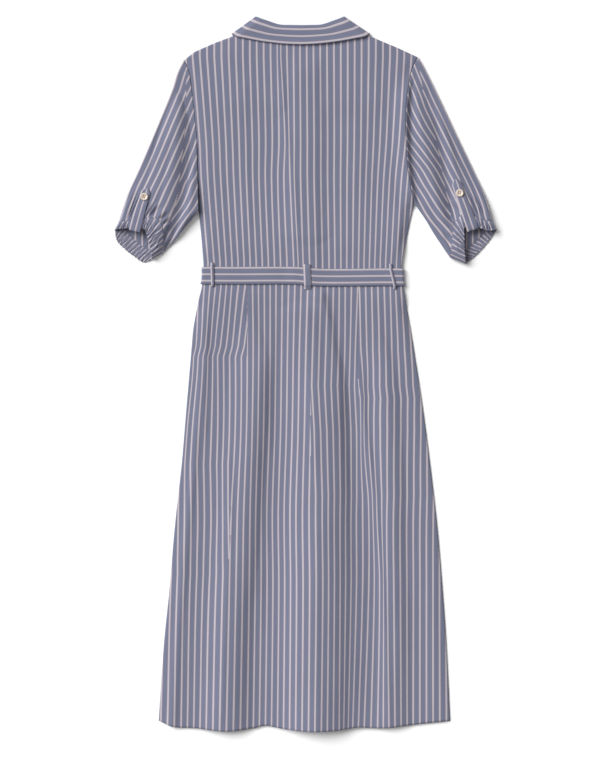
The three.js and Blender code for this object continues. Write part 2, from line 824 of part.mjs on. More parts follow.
for (const [side, [topX, topY, footX, footY, width]] of Object.entries(BELT_LOOPS)) {
  const middleX = (topX + footX) / 2;
  const beltEdge = BELT.width / 2 + 1.5;
  const onCloth = (x, y) => back(x, y) + CLOTH + SEAM + CLOTH / 2;
  const onBelt = (x) => beltOnBack(x) + BAND / 2 + SEAM + CLOTH / 2;
  const path = [
    [topX, topY, onCloth(topX, topY)],
    [topX, beltY(middleX) + beltEdge + 1.5, Math.max(onCloth(topX, topY), onBelt(topX) - 1.6)],
    [topX, beltY(middleX) + beltEdge - 2, onBelt(topX)],
    [middleX, beltY(middleX), onBelt(middleX)],
    [footX, beltY(middleX) - beltEdge + 2, onBelt(footX)],
    [footX, beltY(middleX) - beltEdge - 1.5, Math.max(onCloth(footX, footY), onBelt(footX) - 1.6)],
    [footX, footY, onCloth(footX, footY)],
  ];
  const strip = path.map(([x, y, z]) => [-1, 1].map((k) => [x + (k * width) / 2, y, z]));
  add("belt_loop_" + side, thicken(strip, CLOTH), BANDS);
}

// Collar and the stand inside it: strips from one end of the front opening round to the other

function neckStrip(table, across) {
  const shares = table.flatMap(([t], k) => (k === 0 ? [t] : [(table[k - 1][0] + t) / 2, t]));
  const half = shares.map((t) => curveAt(table, t));
  const all = [
    ...half.map((row) => ({ row, sign: -1 })),
    ...half.slice(0, -1).reverse().map((row) => ({ row, sign: 1 })),
  ];
  return all.map(({ row, sign }) =>
    steps(across).map((t) => {
      const [x, y, z] = mix(row.slice(0, 3), row.slice(3, 6), t);
      return [COLLAR_MIDDLE_X + sign * x, y, z];
    }),
  );
}

add("collar", thicken(neckStrip(COLLAR, 3), BAND), BANDS);
add("collar_stand", thicken(neckStrip(STAND, 2), CLOTH), BANDS);

export default dress;
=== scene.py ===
# A striped cotton shirt dress, laid flat on its front and seen from above its back.
# Sizes are in millimetres on the dress, +Y toward the collar and +X toward the wearer's right.

import math

import bmesh
import bpy
from mathutils import Matrix, Vector, noise


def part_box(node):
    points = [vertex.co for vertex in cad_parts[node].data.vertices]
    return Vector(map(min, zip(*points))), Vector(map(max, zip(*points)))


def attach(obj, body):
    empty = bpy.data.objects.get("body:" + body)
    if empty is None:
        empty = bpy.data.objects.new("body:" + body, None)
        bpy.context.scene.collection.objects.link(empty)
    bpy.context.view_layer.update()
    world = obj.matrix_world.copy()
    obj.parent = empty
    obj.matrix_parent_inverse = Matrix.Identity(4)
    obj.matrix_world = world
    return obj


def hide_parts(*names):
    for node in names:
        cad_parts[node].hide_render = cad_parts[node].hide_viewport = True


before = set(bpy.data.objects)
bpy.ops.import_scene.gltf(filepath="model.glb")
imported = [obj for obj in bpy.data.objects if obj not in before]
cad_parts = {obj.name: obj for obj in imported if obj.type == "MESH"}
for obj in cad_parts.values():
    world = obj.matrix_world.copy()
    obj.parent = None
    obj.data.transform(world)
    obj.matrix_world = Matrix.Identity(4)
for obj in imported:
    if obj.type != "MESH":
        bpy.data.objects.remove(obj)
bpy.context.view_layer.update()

# A plain white table under one large soft light from the upper left, with a long lens straight
# above it. The picture is 600 by 765 pixels, and a pixel takes in 1.65 mm of the dress.

MM = 0.001
PIXEL = 1.65
PICTURE = (600, 765)
LOOKS_AT = (-8.9, -14.4)
LENS_HEIGHT = 4000
SENSOR = 24

scene = bpy.context.scene
eye = bpy.data.objects.new("camera", bpy.data.cameras.new("camera"))
eye.data.sensor_fit = "VERTICAL"
eye.data.sensor_height = SENSOR
eye.data.lens = SENSOR * LENS_HEIGHT / (PICTURE[1] * PIXEL)
eye.data.clip_end = 50
eye.location = Vector((*LOOKS_AT, LENS_HEIGHT)) * MM
scene.collection.objects.link(eye)
scene.camera = eye


def wide_light(name, comes_from, spread, strength, colour):
    """Light of one even strength over the whole table, spread in degrees across its source."""
    lamp = bpy.data.objects.new(name, bpy.data.lights.new(name, "SUN"))
    lamp.data.angle = math.radians(spread)
    lamp.data.energy = strength
    lamp.data.color = colour
    lamp.rotation_euler = Vector(comes_from).to_track_quat("Z", "Y").to_euler()
    scene.collection.objects.link(lamp)


wide_light("window", (-1.9, 1.25, 2.1), 42, 3.66, (0.98, 0.99, 1))
wide_light("ceiling", (0.3, -0.2, 3), 70, 0.3, (0.98, 0.99, 1))

sky = bpy.data.worlds.new("white room")
sky.use_nodes = True
sky.node_tree.nodes["Background"].inputs["Color"].default_value = (1, 0.975, 0.955, 1)
sky.node_tree.nodes["Background"].inputs["Strength"].default_value = 0.25
scene.world = sky
scene.view_settings.view_transform = "Standard"


class Shade:
    """A socket of a material. Sums and products of it add the Math nodes that they need."""

    def __init__(self, tree, socket=None):
        self.tree = tree
        self.socket = socket

    def node(self, kind, settings=None, sockets=None, out=0):
        made = self.tree.nodes.new(kind)
        for name, value in (settings or {}).items():
            setattr(made, name, value)
        for name, value in (sockets or {}).items():
            if isinstance(value, Shade):
                self.tree.links.new(value.socket, made.inputs[name])
            else:
                made.inputs[name].default_value = value
        return Shade(self.tree, made.outputs[out])

    def maths(self, operation, *values):
        return self.node("ShaderNodeMath", {"operation": operation}, dict(enumerate(values)))

    def __add__(self, other):
        return self.maths("ADD", self, other)

    def __sub__(self, other):
        return self.maths("SUBTRACT", self, other)

    def __mul__(self, other):
        return self.maths("MULTIPLY", self, other)

    def __truediv__(self, other):
        return self.maths("DIVIDE", self, other)

    __radd__ = __add__

    def whole(self):
        """How far the value is from the nearest whole number."""
        return self.maths("ABSOLUTE", self - self.maths("ROUND", self))

    def step(self, start, end, low=0.0, high=1.0):
        settings = {"interpolation_type": "SMOOTHSTEP"}
        ends = {"From Min": start, "From Max": end, "To Min": low, "To Max": high}
        return self.node("ShaderNodeMapRange", settings, {"Value": self, **ends})

    def noise(self, place, scale, detail, distortion=0.0):
        sockets = {"Vector": place, "Scale": scale, "Detail": detail, "Distortion": distortion}
        return self.node("ShaderNodeTexNoise", None, sockets)

    def bump(self, height, strength, distance):
        sockets = {"Strength": strength, "Distance": distance, "Height": height}
        return self.node("ShaderNodeBump", None, sockets)

    def mixed(self, share, first, second):
        """Colour between first and second; sockets 6 and 7 are the two colours of a Mix node."""
        return self.node("ShaderNodeMix", {"data_type": "RGBA"}, {0: share, 6: first, 7: second}, out=2)


def new_material(name, slot_colour):
    made = bpy.data.materials.new(name)
    made.use_nodes = True
    made.diffuse_color = (*slot_colour, 1)
    return made, Shade(made.node_tree)


def surface(material, inputs):
    """Sets the inputs of a material's shader to even values, or links them to shades."""
    tree = material.node_tree
    for name, value in inputs.items():
        socket = tree.nodes["Principled BSDF"].inputs[name]
        if isinstance(value, Shade):
            tree.links.new(value.socket, socket)
        else:
            socket.default_value = value


TABLE_WHITE = (0.97, 0.97, 0.97)
# Half a side of the table in metres, and how far below the cloth it lies in mm
TABLE_REACH = 6
BELOW_CLOTH = 0.4

white = new_material("white table", TABLE_WHITE)[0]
surface(white, {"Base Color": (*TABLE_WHITE, 1), "Roughness": 0.9})
table = bmesh.new()
bmesh.ops.create_grid(table, x_segments=1, y_segments=1, size=TABLE_REACH)
bmesh.ops.translate(table, verts=table.verts, vec=(0, 0, -BELOW_CLOTH * MM))
table_mesh = bpy.data.meshes.new("table")
table.to_mesh(table_mesh)
table_mesh.materials.append(white)
floor = bpy.data.objects.new("table", table_mesh)
scene.collection.objects.link(floor)

# Striped cotton of shirt weight: grey-blue and grey-violet warp with a narrow pale stripe in every
# repeat, plain weave, soft and matt. Every piece of cloth below is cut from it.

REPEAT = 10.7
STRIPE_WIDTH = 2.7
THREAD = 0.45
VIOLET = (0.182, 0.167, 0.241, 1)
BLUE = (0.158, 0.175, 0.252, 1)
PALE = (0.475, 0.435, 0.47, 1)


def striped_cotton(name):
    """U runs across the stripes and V along them, both in metres of cloth."""
    cotton, start = new_material(name, (0.27, 0.265, 0.335))
    spot = start.node("ShaderNodeUVMap", {"uv_map": "cloth"})
    across = start.node("ShaderNodeSeparateXYZ", None, {"Vector": spot}, out=0) * 1000
    along = start.node("ShaderNodeSeparateXYZ", None, {"Vector": spot}, out=1) * 1000
    off_stripe = (across / REPEAT).whole() * REPEAT

    def cloudy(across_scale, along_scale, detail):
        sockets = {"X": across * across_scale, "Y": along * along_scale}
        return start.noise(start.node("ShaderNodeCombineXYZ", None, sockets), 1.0, detail)

    slub = cloudy(1.6, 0.05, 2.0) - 0.5
    worn = cloudy(0.012, 0.012, 3.0) - 0.5
    bluish = off_stripe.step(2.7, 3.6)
    hairline = (off_stripe / 1.25).whole().step(0.1, 0.42)
    tone = 0.93 + hairline * 0.1 + slub * 0.16 + worn * 0.1
    edge = STRIPE_WIDTH / 2
    stripe = off_stripe.step(edge - THREAD, edge + THREAD, 1.0, 0.0)
    dyed = start.mixed(stripe, start.mixed(bluish, VIOLET, BLUE), PALE)
    toned = start.node("ShaderNodeVectorMath", {"operation": "SCALE"}, {0: dyed, "Scale": tone})
    woven = (across / THREAD).whole() + (along / THREAD).whole() + slub * 0.8
    inputs = {
        "Base Color": toned,
        "Roughness": 0.86 + slub * 0.12,
        "Normal": start.bump(woven, 0.25, 0.12 * MM),
        "Specular IOR Level": 0.25,
        "Sheen Weight": 0.12,
        "Sheen Roughness": 0.6,
    }
    surface(cotton, inputs)
    return cotton


COTTON = striped_cotton("striped cotton")

# Back bodice and back skirt: two panels of single cotton, sewn together at the waist under the belt,
# the skirt shaped by two waist darts. They lie over the fronts, and their folds are the ones that show.


def ease(start, end, t):
    share = min(1, max(0, (t - start) / (end - start)))
    return share * share * (3 - 2 * share)


def hill(t, start, full_from, full_to, end):
    return ease(start, full_from, t) * (1 - ease(full_to, end, t))


def mix(first, second, share):
    return [a + (b - a) * share for a, b in zip(first, second)]


class Table:
    """Rows of listed sizes. at() gives the later columns for a value of the first one."""

    def __init__(self, *rows, straight=False):
        self.rows = rows
        self.straight = straight
        self.known = {}

    def at(self, t):
        key = round(t, 3)
        if key not in self.known:
            self.known[key] = self.work_out(key)
        return self.known[key]

    def slope(self, row, column):
        before = self.rows[max(row - 1, 0)]
        after = self.rows[min(row + 1, len(self.rows) - 1)]
        return (after[column] - before[column]) / (after[0] - before[0])

    def work_out(self, t):
        row = 0
        while row < len(self.rows) - 2 and t > self.rows[row + 1][0]:
            row += 1
        first, second = self.rows[row], self.rows[row + 1]
        span = second[0] - first[0]
        s = min(1, max(0, (t - first[0]) / span))
        if self.straight:
            return mix(first[1:], second[1:], s)
        start = (2 * s - 3) * s * s + 1
        leave = s * (1 - s) ** 2 * span
        arrive = s * s * (s - 1) * span
        return [
            start * first[k]
            + (1 - start) * second[k]
            + leave * self.slope(row, k)
            + arrive * self.slope(row + 1, k)
            for k in range(1, len(first))
        ]


# Room for a ply and for a doubled band, the gaps between plies, and how thick a ply is shown
PLY = 1.2
BAND = 1.6
SEAM = 0.3
AIR = 0.8
WALL = 0.8
WAIST_Y = 160
SHOULDER = {"left": (-199.5, 517.5), "right": (185, 522)}

# Side seams up to the underarms, then the armhole seams: y, x of the left edge, x of the right edge
SIDES = Table(
    (-575, -242, 238.5), (-450, -233.5, 232.5), (-350, -223.5, 225.5), (-250, -215, 217),
    (-150, -204, 205.5), (-50, -195.5, 192.5), (25, -189, 181), (75, -184.5, 173), (120, -176, 165),
    (145, -170, 160.5), (160, -167.5, 159), (185, -168, 159.5), (237, -172.5, 169.5),
    (268, -175.5, 176), (281.5, -176, 178.5), (303, -176.5, 174.5), (336, -177.5, 169),
    (389, -179, 165.5), (443, -184, 166), (478, -188, 170.5), (500, -191.7, 174.8),
    (517.5, -199.5, 182.3), (522, -202, 185),
)
# Hem of the back skirt: x, y
HEM = Table(
    (-242, -572), (-218, -582), (-185, -584), (-131, -588.5), (-86, -584), (-66, -580), (-40, -584.5),
    (0, -588), (50, -587), (85, -583), (123, -584), (165, -580), (200, -576), (238.5, -572.5),
)
# Shoulder seams and neckline of the back bodice: x, y
BACK_TOP = Table(
    (-199.5, 517.5), (-182, 531), (-150, 545), (-121, 555.5), (-93, 567), (-75, 558), (-50, 551.5),
    (-7, 549), (35, 551.5), (60, 558), (78.5, 567), (106.5, 556), (150, 538), (185, 522),
    straight=True,
)
# Soft folds: y, then x of ridge, trough, ridge and so on
SKIRT_FOLDS = Table(
    (-585, -223.5, -197, -131, -66.5, 24, 93.5, 143, 195.5),
    (-423, -217, -185.5, -121, -68.5, 21, 100, 146, 189),
    (-274, -203.5, -172.5, -108, -58.5, 24, 100, 144.5, 182.5),
    (-126, -189, -160.5, -94.5, -48.5, 27.5, 93.5, 139.5, 176),
    (22, -177, -152.5, -81.5, -42, 27.5, 85, 129.5, 162.5),
    (141, -159, -147.5, -91.5, -68.5, -9, 40.5, 100, 143),
)
BODICE_FOLDS = Table(
    (160, -149, -131, -94.5, -68.5, -15.5, 27.5, 85, 113, 139.5),
    (286, -151, -131, -94.5, -68.5, -22, 27.5, 85, 113, 139.5),
    (418, -149, -131, -103, -75, -35.5, 16, 68.5, 98.5, 136.5),
    (517, -149, -131, -98, -71.5, -25.5, 21, 77, 106.5, 136.5),
)
SKIRT_RIDGES = (7, 13, 14, 10)
BODICE_RIDGES = (2.5, 4, 4, 3.5, 2.5)
FRONT_SHARE = 0.66
AIR_SHARE = 0.2
FLAT_BELOW = 2.2
BUTTON_BULGE = 2.9
BELT_BULGE = 4.1
COLLAR_BULGE = 2.2
OVER_BELT = (100, 130, 196, 232)


def left_edge(y):
    return SIDES.at(y)[0]


def right_edge(y):
    return SIDES.at(y)[1]


def fold_height(folds_table, ridges, x, y):
    places = folds_table.at(y)
    levels = [ridges[k // 2] if k % 2 == 0 else 0 for k in range(len(places))]
    after = next((k for k, place in enumerate(places) if place > x), len(places))
    if after == 0:
        return levels[0]
    if after == len(places):
        return levels[-1]
    rise = ease(places[after - 1], places[after], x)
    return levels[after - 1] + (levels[after] - levels[after - 1]) * rise


def inset(x, y, reach):
    return ease(0, reach, min(x - left_edge(y), right_edge(y) - x))


def folds(x, y):
    """Height of the broad folds, which deepen down the skirt and fade out at the side seams."""
    if y > WAIST_Y:
        height = fold_height(BODICE_FOLDS, BODICE_RIDGES, x, y) * hill(y, 190, 260, 470, 525)
    else:
        share = (0.15 + 0.85 * (1 - ease(-70, 150, y))) * (1 - ease(110, 145, y))
        height = fold_height(SKIRT_FOLDS, SKIRT_RIDGES, x, y) * share
    return height * inset(x, y, 26)


def under(x, y):
    """What the fronts lie over: buttons down the opening, the belt, the front leaves of the collar."""
    buttons = BUTTON_BULGE * hill(x, -52, -10, 10, 52) * (1 - ease(500, 530, y))
    belt = BELT_BULGE * hill(y, *OVER_BELT)
    collar = COLLAR_BULGE * hill(x, -155, -126, 113, 141) * ease(410, 452, y)
    return max(buttons, belt, collar)


def outer_front(x, y):
    return max(0, FRONT_SHARE * folds(x, y) - FLAT_BELOW) + under(x, y)


def inner_front(x, y):
    return outer_front(x, y) + (PLY + SEAM) * ease(-30, -16, x)


def back(x, y):
    doubled = hill(x, -30, -16, 16, 30) * (1 - ease(508, 535, y))
    top_y = BACK_TOP.at(x)[0]
    away = inset(x, y, 20) * (1 - ease(top_y - 25, top_y, y))
    air = (AIR + AIR_SHARE * folds(x, y)) * away
    return outer_front(x, y) + (PLY + SEAM) * (1 + doubled) + air


class Crease:
    """A soft ridge along a given line, steeper on one side of its crest than the other. Each row
    is y and x of the crest. Its shape is the height and the widths left and right of the crest, and
    where it is empty, each row ends with them instead."""

    def __init__(self, shape, *rows):
        self.line = Table(*[(*row, *shape) for row in rows])
        self.low = rows[0][0]
        self.high = rows[-1][0]

    def at(self, x, y):
        if not self.low - 5 < y < self.high + 5:
            return 0
        reach = min(50, (self.high - self.low) / 3)
        fade = hill(y, self.low - 5, self.low + reach, self.high - reach, self.high + 5)
        crest, height, left_width, right_width = self.line.at(y)
        away = x - crest
        width = left_width if away < 0 else right_width
        if abs(away) > 3 * width:
            return 0
        return height * fade * math.exp(-((away / width) ** 2))


CREASES = (
    Crease((1.8, 9, 5), (-600, 138), (-439, 132), (-307, 123), (-175, 112), (-93, 99), (17, 90)),
    Crease(
        (),
        (-640, 40, 8, 56, 48), (-500, 42, 9, 56, 48), (-414, 44, 9.3, 56, 48), (-320, 46, 8.3, 50, 40),
        (-240, 50, 6.8, 42, 32), (-165, 54, 4.6, 30, 18), (-85, 55, 3.3, 24, 11), (-10, 55, 3, 18, 8),
        (72, 40, 3.4, 16, 9), (126, 27, 4.6, 16, 8), (175, 16, 4.6, 16, 8),
    ),
    Crease(
        (),
        (-640, -112, 2.4, 40, 20), (-414, -114, 2.4, 40, 20), (-324, -94, 2.3, 36, 18),
        (-241, -82, 2.3, 30, 15), (-160, -79, 2.3, 26, 13), (-85, -72, 2.1, 22, 12),
        (-10, -69, 1.9, 20, 12), (60, -62, 1.3, 16, 10),
    ),
    Crease((1.7, 16, 5), (-600, -139), (-373, -131), (-241, -124), (-109, -126)),
    Crease((0.9, 7, 5), (-170, 12), (-30, 8), (39, 4), (144, 6)),
    Crease((1.8, 10, 5), (-130, -168), (-24, -167), (39, -164), (112, -164)),
    Crease((1, 12, 6), (-150, -60), (-93, -59), (8, -55), (70, -55), (118, -56)),
    Crease((1.1, 12, 6), (-440, -75), (-380, -75), (-300, -73)),
    Crease((1.0, 10, 8), (-600, 206), (-500, 211), (-420, 209), (-340, 204)),
    Crease((1.0, 7, 5), (215, -13), (320, -22), (386, -30), (522, -44)),
    Crease((0.9, 7, 5), (180, 151), (225, 153), (285, 157)),
    Crease((0.8, 6, 6), (178, -157), (210, -158), (250, -160)),
    Crease((0.9, 16, 9), (300, -120), (380, -124), (470, -120)),
    Crease((0.8, 14, 9), (290, 92), (370, 88), (450, 94)),
)
RUMPLE = 0.62
RAISED = 0.9
# x of the stitched line of each dart and y of its point
LEFT_DART_AT = (-95.8, 28)
RIGHT_DART_AT = (87.2, 16)


def rumple(x, y):
    """Small uneven waves, long down the cloth and short across it."""
    long_wave = noise.noise(Vector((x / 26, y / 170, 3.7)))
    short_wave = noise.noise(Vector((x / 11, y / 60, 9.2)))
    return long_wave + 0.35 * short_wave


def darts(x, y):
    """The stitched line of each dart is a fine groove, and the cloth swells a little at its point."""
    groove = 0
    for line_x, point_y in (LEFT_DART_AT, RIGHT_DART_AT):
        sewn = ease(point_y - 20, point_y + 30, y)
        groove -= 0.55 * sewn * math.exp(-(((x - line_x) / 1.5) ** 2))
        groove += 0.8 * math.exp(-(((x - line_x) / 17) ** 2) - ((y - point_y + 12) / 34) ** 2)
    return groove


def eased_over_belt(y):
    """The back slopes away from the belt's hidden half more gently than the fronts do."""
    low, full_from, full_to, high = OVER_BELT
    below = ease(20, full_from, y) - ease(low, full_from, y)
    above = ease(full_to, high, y) - ease(full_to, 300, y)
    return BELT_BULGE * (below if y < WAIST_Y else above)


ARMHOLE_STEP = 9
ARMHOLE_SPAN = (268, 302, 440, 505)


def armhole_rise(x, y):
    """The wearer's right armhole stands up, and the sleeve drops away from it."""
    return ARMHOLE_STEP * hill(y, *ARMHOLE_SPAN) * (1 - ease(0, 26, abs(right_edge(y) - x)))


def back_lift(x, y):
    """Creases and small waves of the back, flat where the belt presses on it."""
    creased = sum(crease.at(x, y) for crease in CREASES)
    if y < WAIST_Y:
        creased += darts(x, y)
    pressed = 1 - hill(y, 127, 144, 182, 212)
    rim = inset(x, y, 14)
    raised = (RAISED + creased + RUMPLE * rumple(x, y)) * rim * pressed
    return raised + eased_over_belt(y) * rim + armhole_rise(x, y)


def back_middle(x, y):
    return back(x, y) + PLY / 2 + back_lift(x, y)


def patch(first, last, start, end):
    """Places between four boundary lines: first and last run across, start and end run along."""

    def place(u, v):
        along = mix(start(v), end(v), u)
        across = mix(first(u), last(u), v)
        corners = mix(mix(first(0), first(1), u), mix(last(0), last(1), u), v)
        return [a + b - c for a, b, c in zip(along, across, corners)]

    return place


def finish_piece(name, mesh, material, nodes):
    """An object from a bmesh in millimetres, riding on the dress in the place of its nodes."""
    bmesh.ops.scale(mesh, vec=(MM, MM, MM), verts=mesh.verts)
    data = bpy.data.meshes.new(name)
    mesh.to_mesh(data)
    mesh.free()
    data.materials.append(material)
    for polygon in data.polygons:
        polygon.use_smooth = True
    piece = bpy.data.objects.new(name, data)
    scene.collection.objects.link(piece)
    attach(piece, "root")
    if nodes:
        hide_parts(*nodes)
    return piece


def cloth(name, node, counts, place, cut, wall=WALL, closed=False):
    """A sheet of cotton. place(u, v) is the middle of the ply and cut(u, v, spot, near) its place in the
    flat cloth, across and along the stripes; near is the u and spot of the middle of the face."""
    mesh = bmesh.new()
    bmesh.ops.create_grid(mesh, x_segments=counts[0], y_segments=counts[1], size=0.5)
    mesh.verts.index_update()
    shares = [(vert.co.x + 0.5, vert.co.y + 0.5) for vert in mesh.verts]
    for vert in mesh.verts:
        vert.co = Vector(place(*shares[vert.index]))
    layer = mesh.loops.layers.uv.new("cloth")
    for face in mesh.faces:
        near = (sum(shares[vert.index][0] for vert in face.verts) / 4, face.calc_center_median())
        for loop in face.loops:
            u, v = shares[loop.vert.index]
            across, along = cut(u, v, loop.vert.co, near)
            loop[layer].uv = (across * MM, along * MM)
    if closed:
        bmesh.ops.remove_doubles(mesh, verts=mesh.verts, dist=0.01)
        bmesh.ops.recalc_face_normals(mesh, faces=mesh.faces)
    piece = finish_piece(name, mesh, COTTON, [node])
    thickness = piece.modifiers.new("wall", "SOLIDIFY")
    thickness.thickness = wall * MM
    thickness.offset = 0
    return piece


# How the stripes of the back run. Every column is one stripe, numbered from the middle, and every row
# says where those stripes are at one height: y, then x of each. Two darts and two fine folds, which
# are left out of the numbers, hide a stripe or two of cloth.
SKIRT_STRIPES = (-22, -18, -14, -11, -8, -4, 0, 4, 7, 10, 12, 14, 16, 20, 24)
SKIRT_RUN = Table(
    (-588, -250, -205, -163.5, -130, -96, -56, -16, 26, 55.5, 77.5, 96.5, 119, 137.5, 177.5, 221.5),
    (-349, -243, -201, -158.5, -125, -92.5, -53.5, -14.5, 28.5, 57, 84, 104.5, 122.5, 134.5, 178, 221),
    (-225, -235, -193.5, -149.5, -122, -91, -54.5, -15.5, 27.5, 57, 84, 104.5, 117.5, 134, 178, 222),
    (-93, -220, -186.5, -144.5, -115.5, -87.5, -50.5, -12, 29.5, 60.5, 88.5, 99, 117, 140, 184.5, 227),
    (39, -207, -176.5, -145, -115.5, -86, -49, -10, 33.5, 65, 91, 110.5, 131.5, 152, 195.5, 238),
    (145, -226, -184, -147, -120.5, -87, -48.5, -7, 36.5, 65.5, 96.5, 116.5, 137.5, 155, 192.5, 230),
)
BODICE_STRIPES = (-20, -14, -8, -7, -6, -5, -4, 0, 5, 11)
BODICE_RUN = Table(
    (184, -160.5, -101, -41, -30.5, -19, -12, -4, 39, 87.5, 141),
    (320, -171.5, -107.5, -45.5, -35.5, -25, -18.5, -8, 36.5, 90, 148.5),
    (386, -174.5, -109.5, -43.5, -33.5, -27, -18.5, -8, 36.5, 91.5, 154.5),
    (523, -186, -114.5, -46, -41, -30.5, -19.5, -9, 35.5, 92.5, 163),
)
# Hidden cloth: y and how many stripes are folded away there
LEFT_DART = Table((28, 0.0), (45, 0.5), (145, 1.9), straight=True)
RIGHT_DART = Table((-40, 0.0), (39, 0.95), (145, 1.75), straight=True)
CENTRE_FOLD_X = 8.7
CENTRE_FOLD = Table((-200, 0.0), (-93, 0.45), (-20, 1.0), (145, 1.0), straight=True)
LOWER_FOLD = Table((-330, 1.0), (-250, 0.6), (-150, 0.0), straight=True)
LOWER_FOLD_LINE = Table((-600, -138), (-349, -128), (-225, -123), (-93, -126))


def stripe_number(numbers, run, x, y):
    """Which stripe, in whole stripes and parts of one, passes through a place."""
    places = run.at(y)
    last = len(places) - 2
    k = min(last, max(0, next((i for i, place in enumerate(places) if place > x), last + 1) - 1))
    share = (x - places[k]) / (places[k + 1] - places[k])
    return numbers[k] + (numbers[k + 1] - numbers[k]) * share


def skirt_cut(u, v, spot, near):
    _, middle = near
    number = stripe_number(SKIRT_STRIPES, SKIRT_RUN, spot.x, spot.y)
    if middle.x < LEFT_DART_AT[0]:
        number -= LEFT_DART.at(spot.y)[0]
    if middle.x < LOWER_FOLD_LINE.at(middle.y)[0]:
        number -= LOWER_FOLD.at(spot.y)[0]
    if middle.x > CENTRE_FOLD_X:
        number += CENTRE_FOLD.at(spot.y)[0]
    if middle.x > RIGHT_DART_AT[0]:
        number += RIGHT_DART.at(spot.y)[0]
    return number * REPEAT, spot.y


def bodice_cut(u, v, spot, near):
    return stripe_number(BODICE_STRIPES, BODICE_RUN, spot.x, spot.y) * REPEAT, spot.y


def side_line(edge, low, high):
    return lambda v: (edge(low + (high - low) * v), low + (high - low) * v)


def level_line(y, from_x, to_x):
    return lambda u: (from_x + (to_x - from_x) * u, y)


HEM_Y = {"left": -572, "right": -572.5}
SKIRT_TOP = WAIST_Y - SEAM / 2
BODICE_FOOT = WAIST_Y + SEAM / 2

ROLL_REACH = 5
ROLL_DROP = 0.75


def rolled(place, height):
    """Places on a panel whose side edges turn down, round the side seams, to meet the front."""

    def middle(u, v):
        x, y = place(u, v)
        z = height(x, y)
        gap = min(x - left_edge(y), right_edge(y) - x)
        down = (1 - min(1, max(0, gap / ROLL_REACH))) ** 2
        return x, y, z - down * ROLL_DROP * (1 - ease(255, 275, y))

    return middle


def back_hem(u):
    from_x, to_x = left_edge(HEM_Y["left"]), right_edge(HEM_Y["right"])
    x = from_x + (to_x - from_x) * u
    return x, HEM.at(x)[0]


skirt_place = patch(
    back_hem,
    level_line(SKIRT_TOP, left_edge(SKIRT_TOP), right_edge(SKIRT_TOP)),
    side_line(left_edge, HEM_Y["left"], SKIRT_TOP),
    side_line(right_edge, HEM_Y["right"], SKIRT_TOP),
)
skirt_back = cloth("skirt_back_cloth", "skirt_back", (220, 190), rolled(skirt_place, back_middle), skirt_cut)


def back_top(u):
    x = SHOULDER["left"][0] + (SHOULDER["right"][0] - SHOULDER["left"][0]) * u
    return x, BACK_TOP.at(x)[0]


bodice_place = patch(
    level_line(BODICE_FOOT, left_edge(BODICE_FOOT), right_edge(BODICE_FOOT)),
    back_top,
    side_line(left_edge, BODICE_FOOT, SHOULDER["left"][1]),
    side_line(right_edge, BODICE_FOOT, SHOULDER["right"][1]),
)
bodice_back = cloth(
    "bodice_back_cloth", "bodice_back", (190, 130), rolled(bodice_place, back_middle), bodice_cut
)

# Two fronts to bodice and skirt, of the same cotton: they lie against the table, the wearer's right
# one undermost, overlapped down the opening where the buttons are.

OPENING_HALF = 15
FRONT_NECK = ((-42, 515), (-28, 508), (-16, 506), (0, 505), (15, 505))
FRONT_TOP = {
    "left": ((-199.5, 517.5), (-182, 531), (-150, 545), (-121, 555.5), (-93, 567), (-80, 546), (-60, 527)),
    "right": ((185, 522), (150, 538), (128.2, 547), (106.5, 556), (78.5, 567), (68, 543), (56, 526)),
}


def front_middle(base):
    """The undersides keep flat stretches on the table, so their small waves only rise."""

    def height(x, y):
        risen = max(0, rumple(x + 300, y) - 0.1) * 0.5 * inset(x, y, 20)
        return base(x, y) + PLY / 2 + risen * (1 - hill(y, 108, 138, 182, 212))

    return height


def straight_cut(u, v, spot, near):
    return spot.x, spot.y


def raised(place, height):
    """Places in the plan at the height that the cloth has there."""
    return lambda u, v: (*place(u, v), height(*place(u, v)))


for side, sign, edge, base in (("left", -1, left_edge, inner_front), ("right", 1, right_edge, outer_front)):
    opening_x = -sign * OPENING_HALF

    def front_hem(u, edge=edge, side=side, opening_x=opening_x):
        from_x = edge(HEM_Y[side])
        x = from_x + (opening_x - from_x) * u
        return x, HEM.at(x)[0] + 2 * ease(0, 0.2, u)

    def opening_line(low, high, opening_x=opening_x):
        return lambda v: (opening_x, low + (high - low) * v)

    skirt_front_place = patch(
        front_hem,
        level_line(SKIRT_TOP, edge(SKIRT_TOP), opening_x),
        side_line(edge, HEM_Y[side], SKIRT_TOP),
        opening_line(front_hem(1)[1], SKIRT_TOP),
    )
    skirt_front = cloth(
        "skirt_front_" + side + "_cloth",
        "skirt_front_" + side,
        (90, 120),
        raised(skirt_front_place, front_middle(base)),
        straight_cut,
    )

    neck = [(-sign * x if side == "right" else x, y) for x, y in FRONT_NECK]
    edge_points = (*FRONT_TOP[side], *neck)
    last = len(edge_points) - 1
    top_edge = Table(*[(k / last, *point) for k, point in enumerate(edge_points)], straight=True)
    bodice_front_place = patch(
        level_line(BODICE_FOOT, edge(BODICE_FOOT), opening_x),
        top_edge.at,
        side_line(edge, BODICE_FOOT, SHOULDER[side][1]),
        opening_line(BODICE_FOOT, FRONT_NECK[-1][1]),
    )
    bodice_front = cloth(
        "bodice_front_" + side + "_cloth",
        "bodice_front_" + side,
        (80, 80),
        raised(bodice_front_place, front_middle(base)),
        straight_cut,
    )

# Sleeves of one piece of cotton each, folded along their outer edge and gathered into a soft cuff at
# the elbow. A long deep crease runs down each from the armhole.

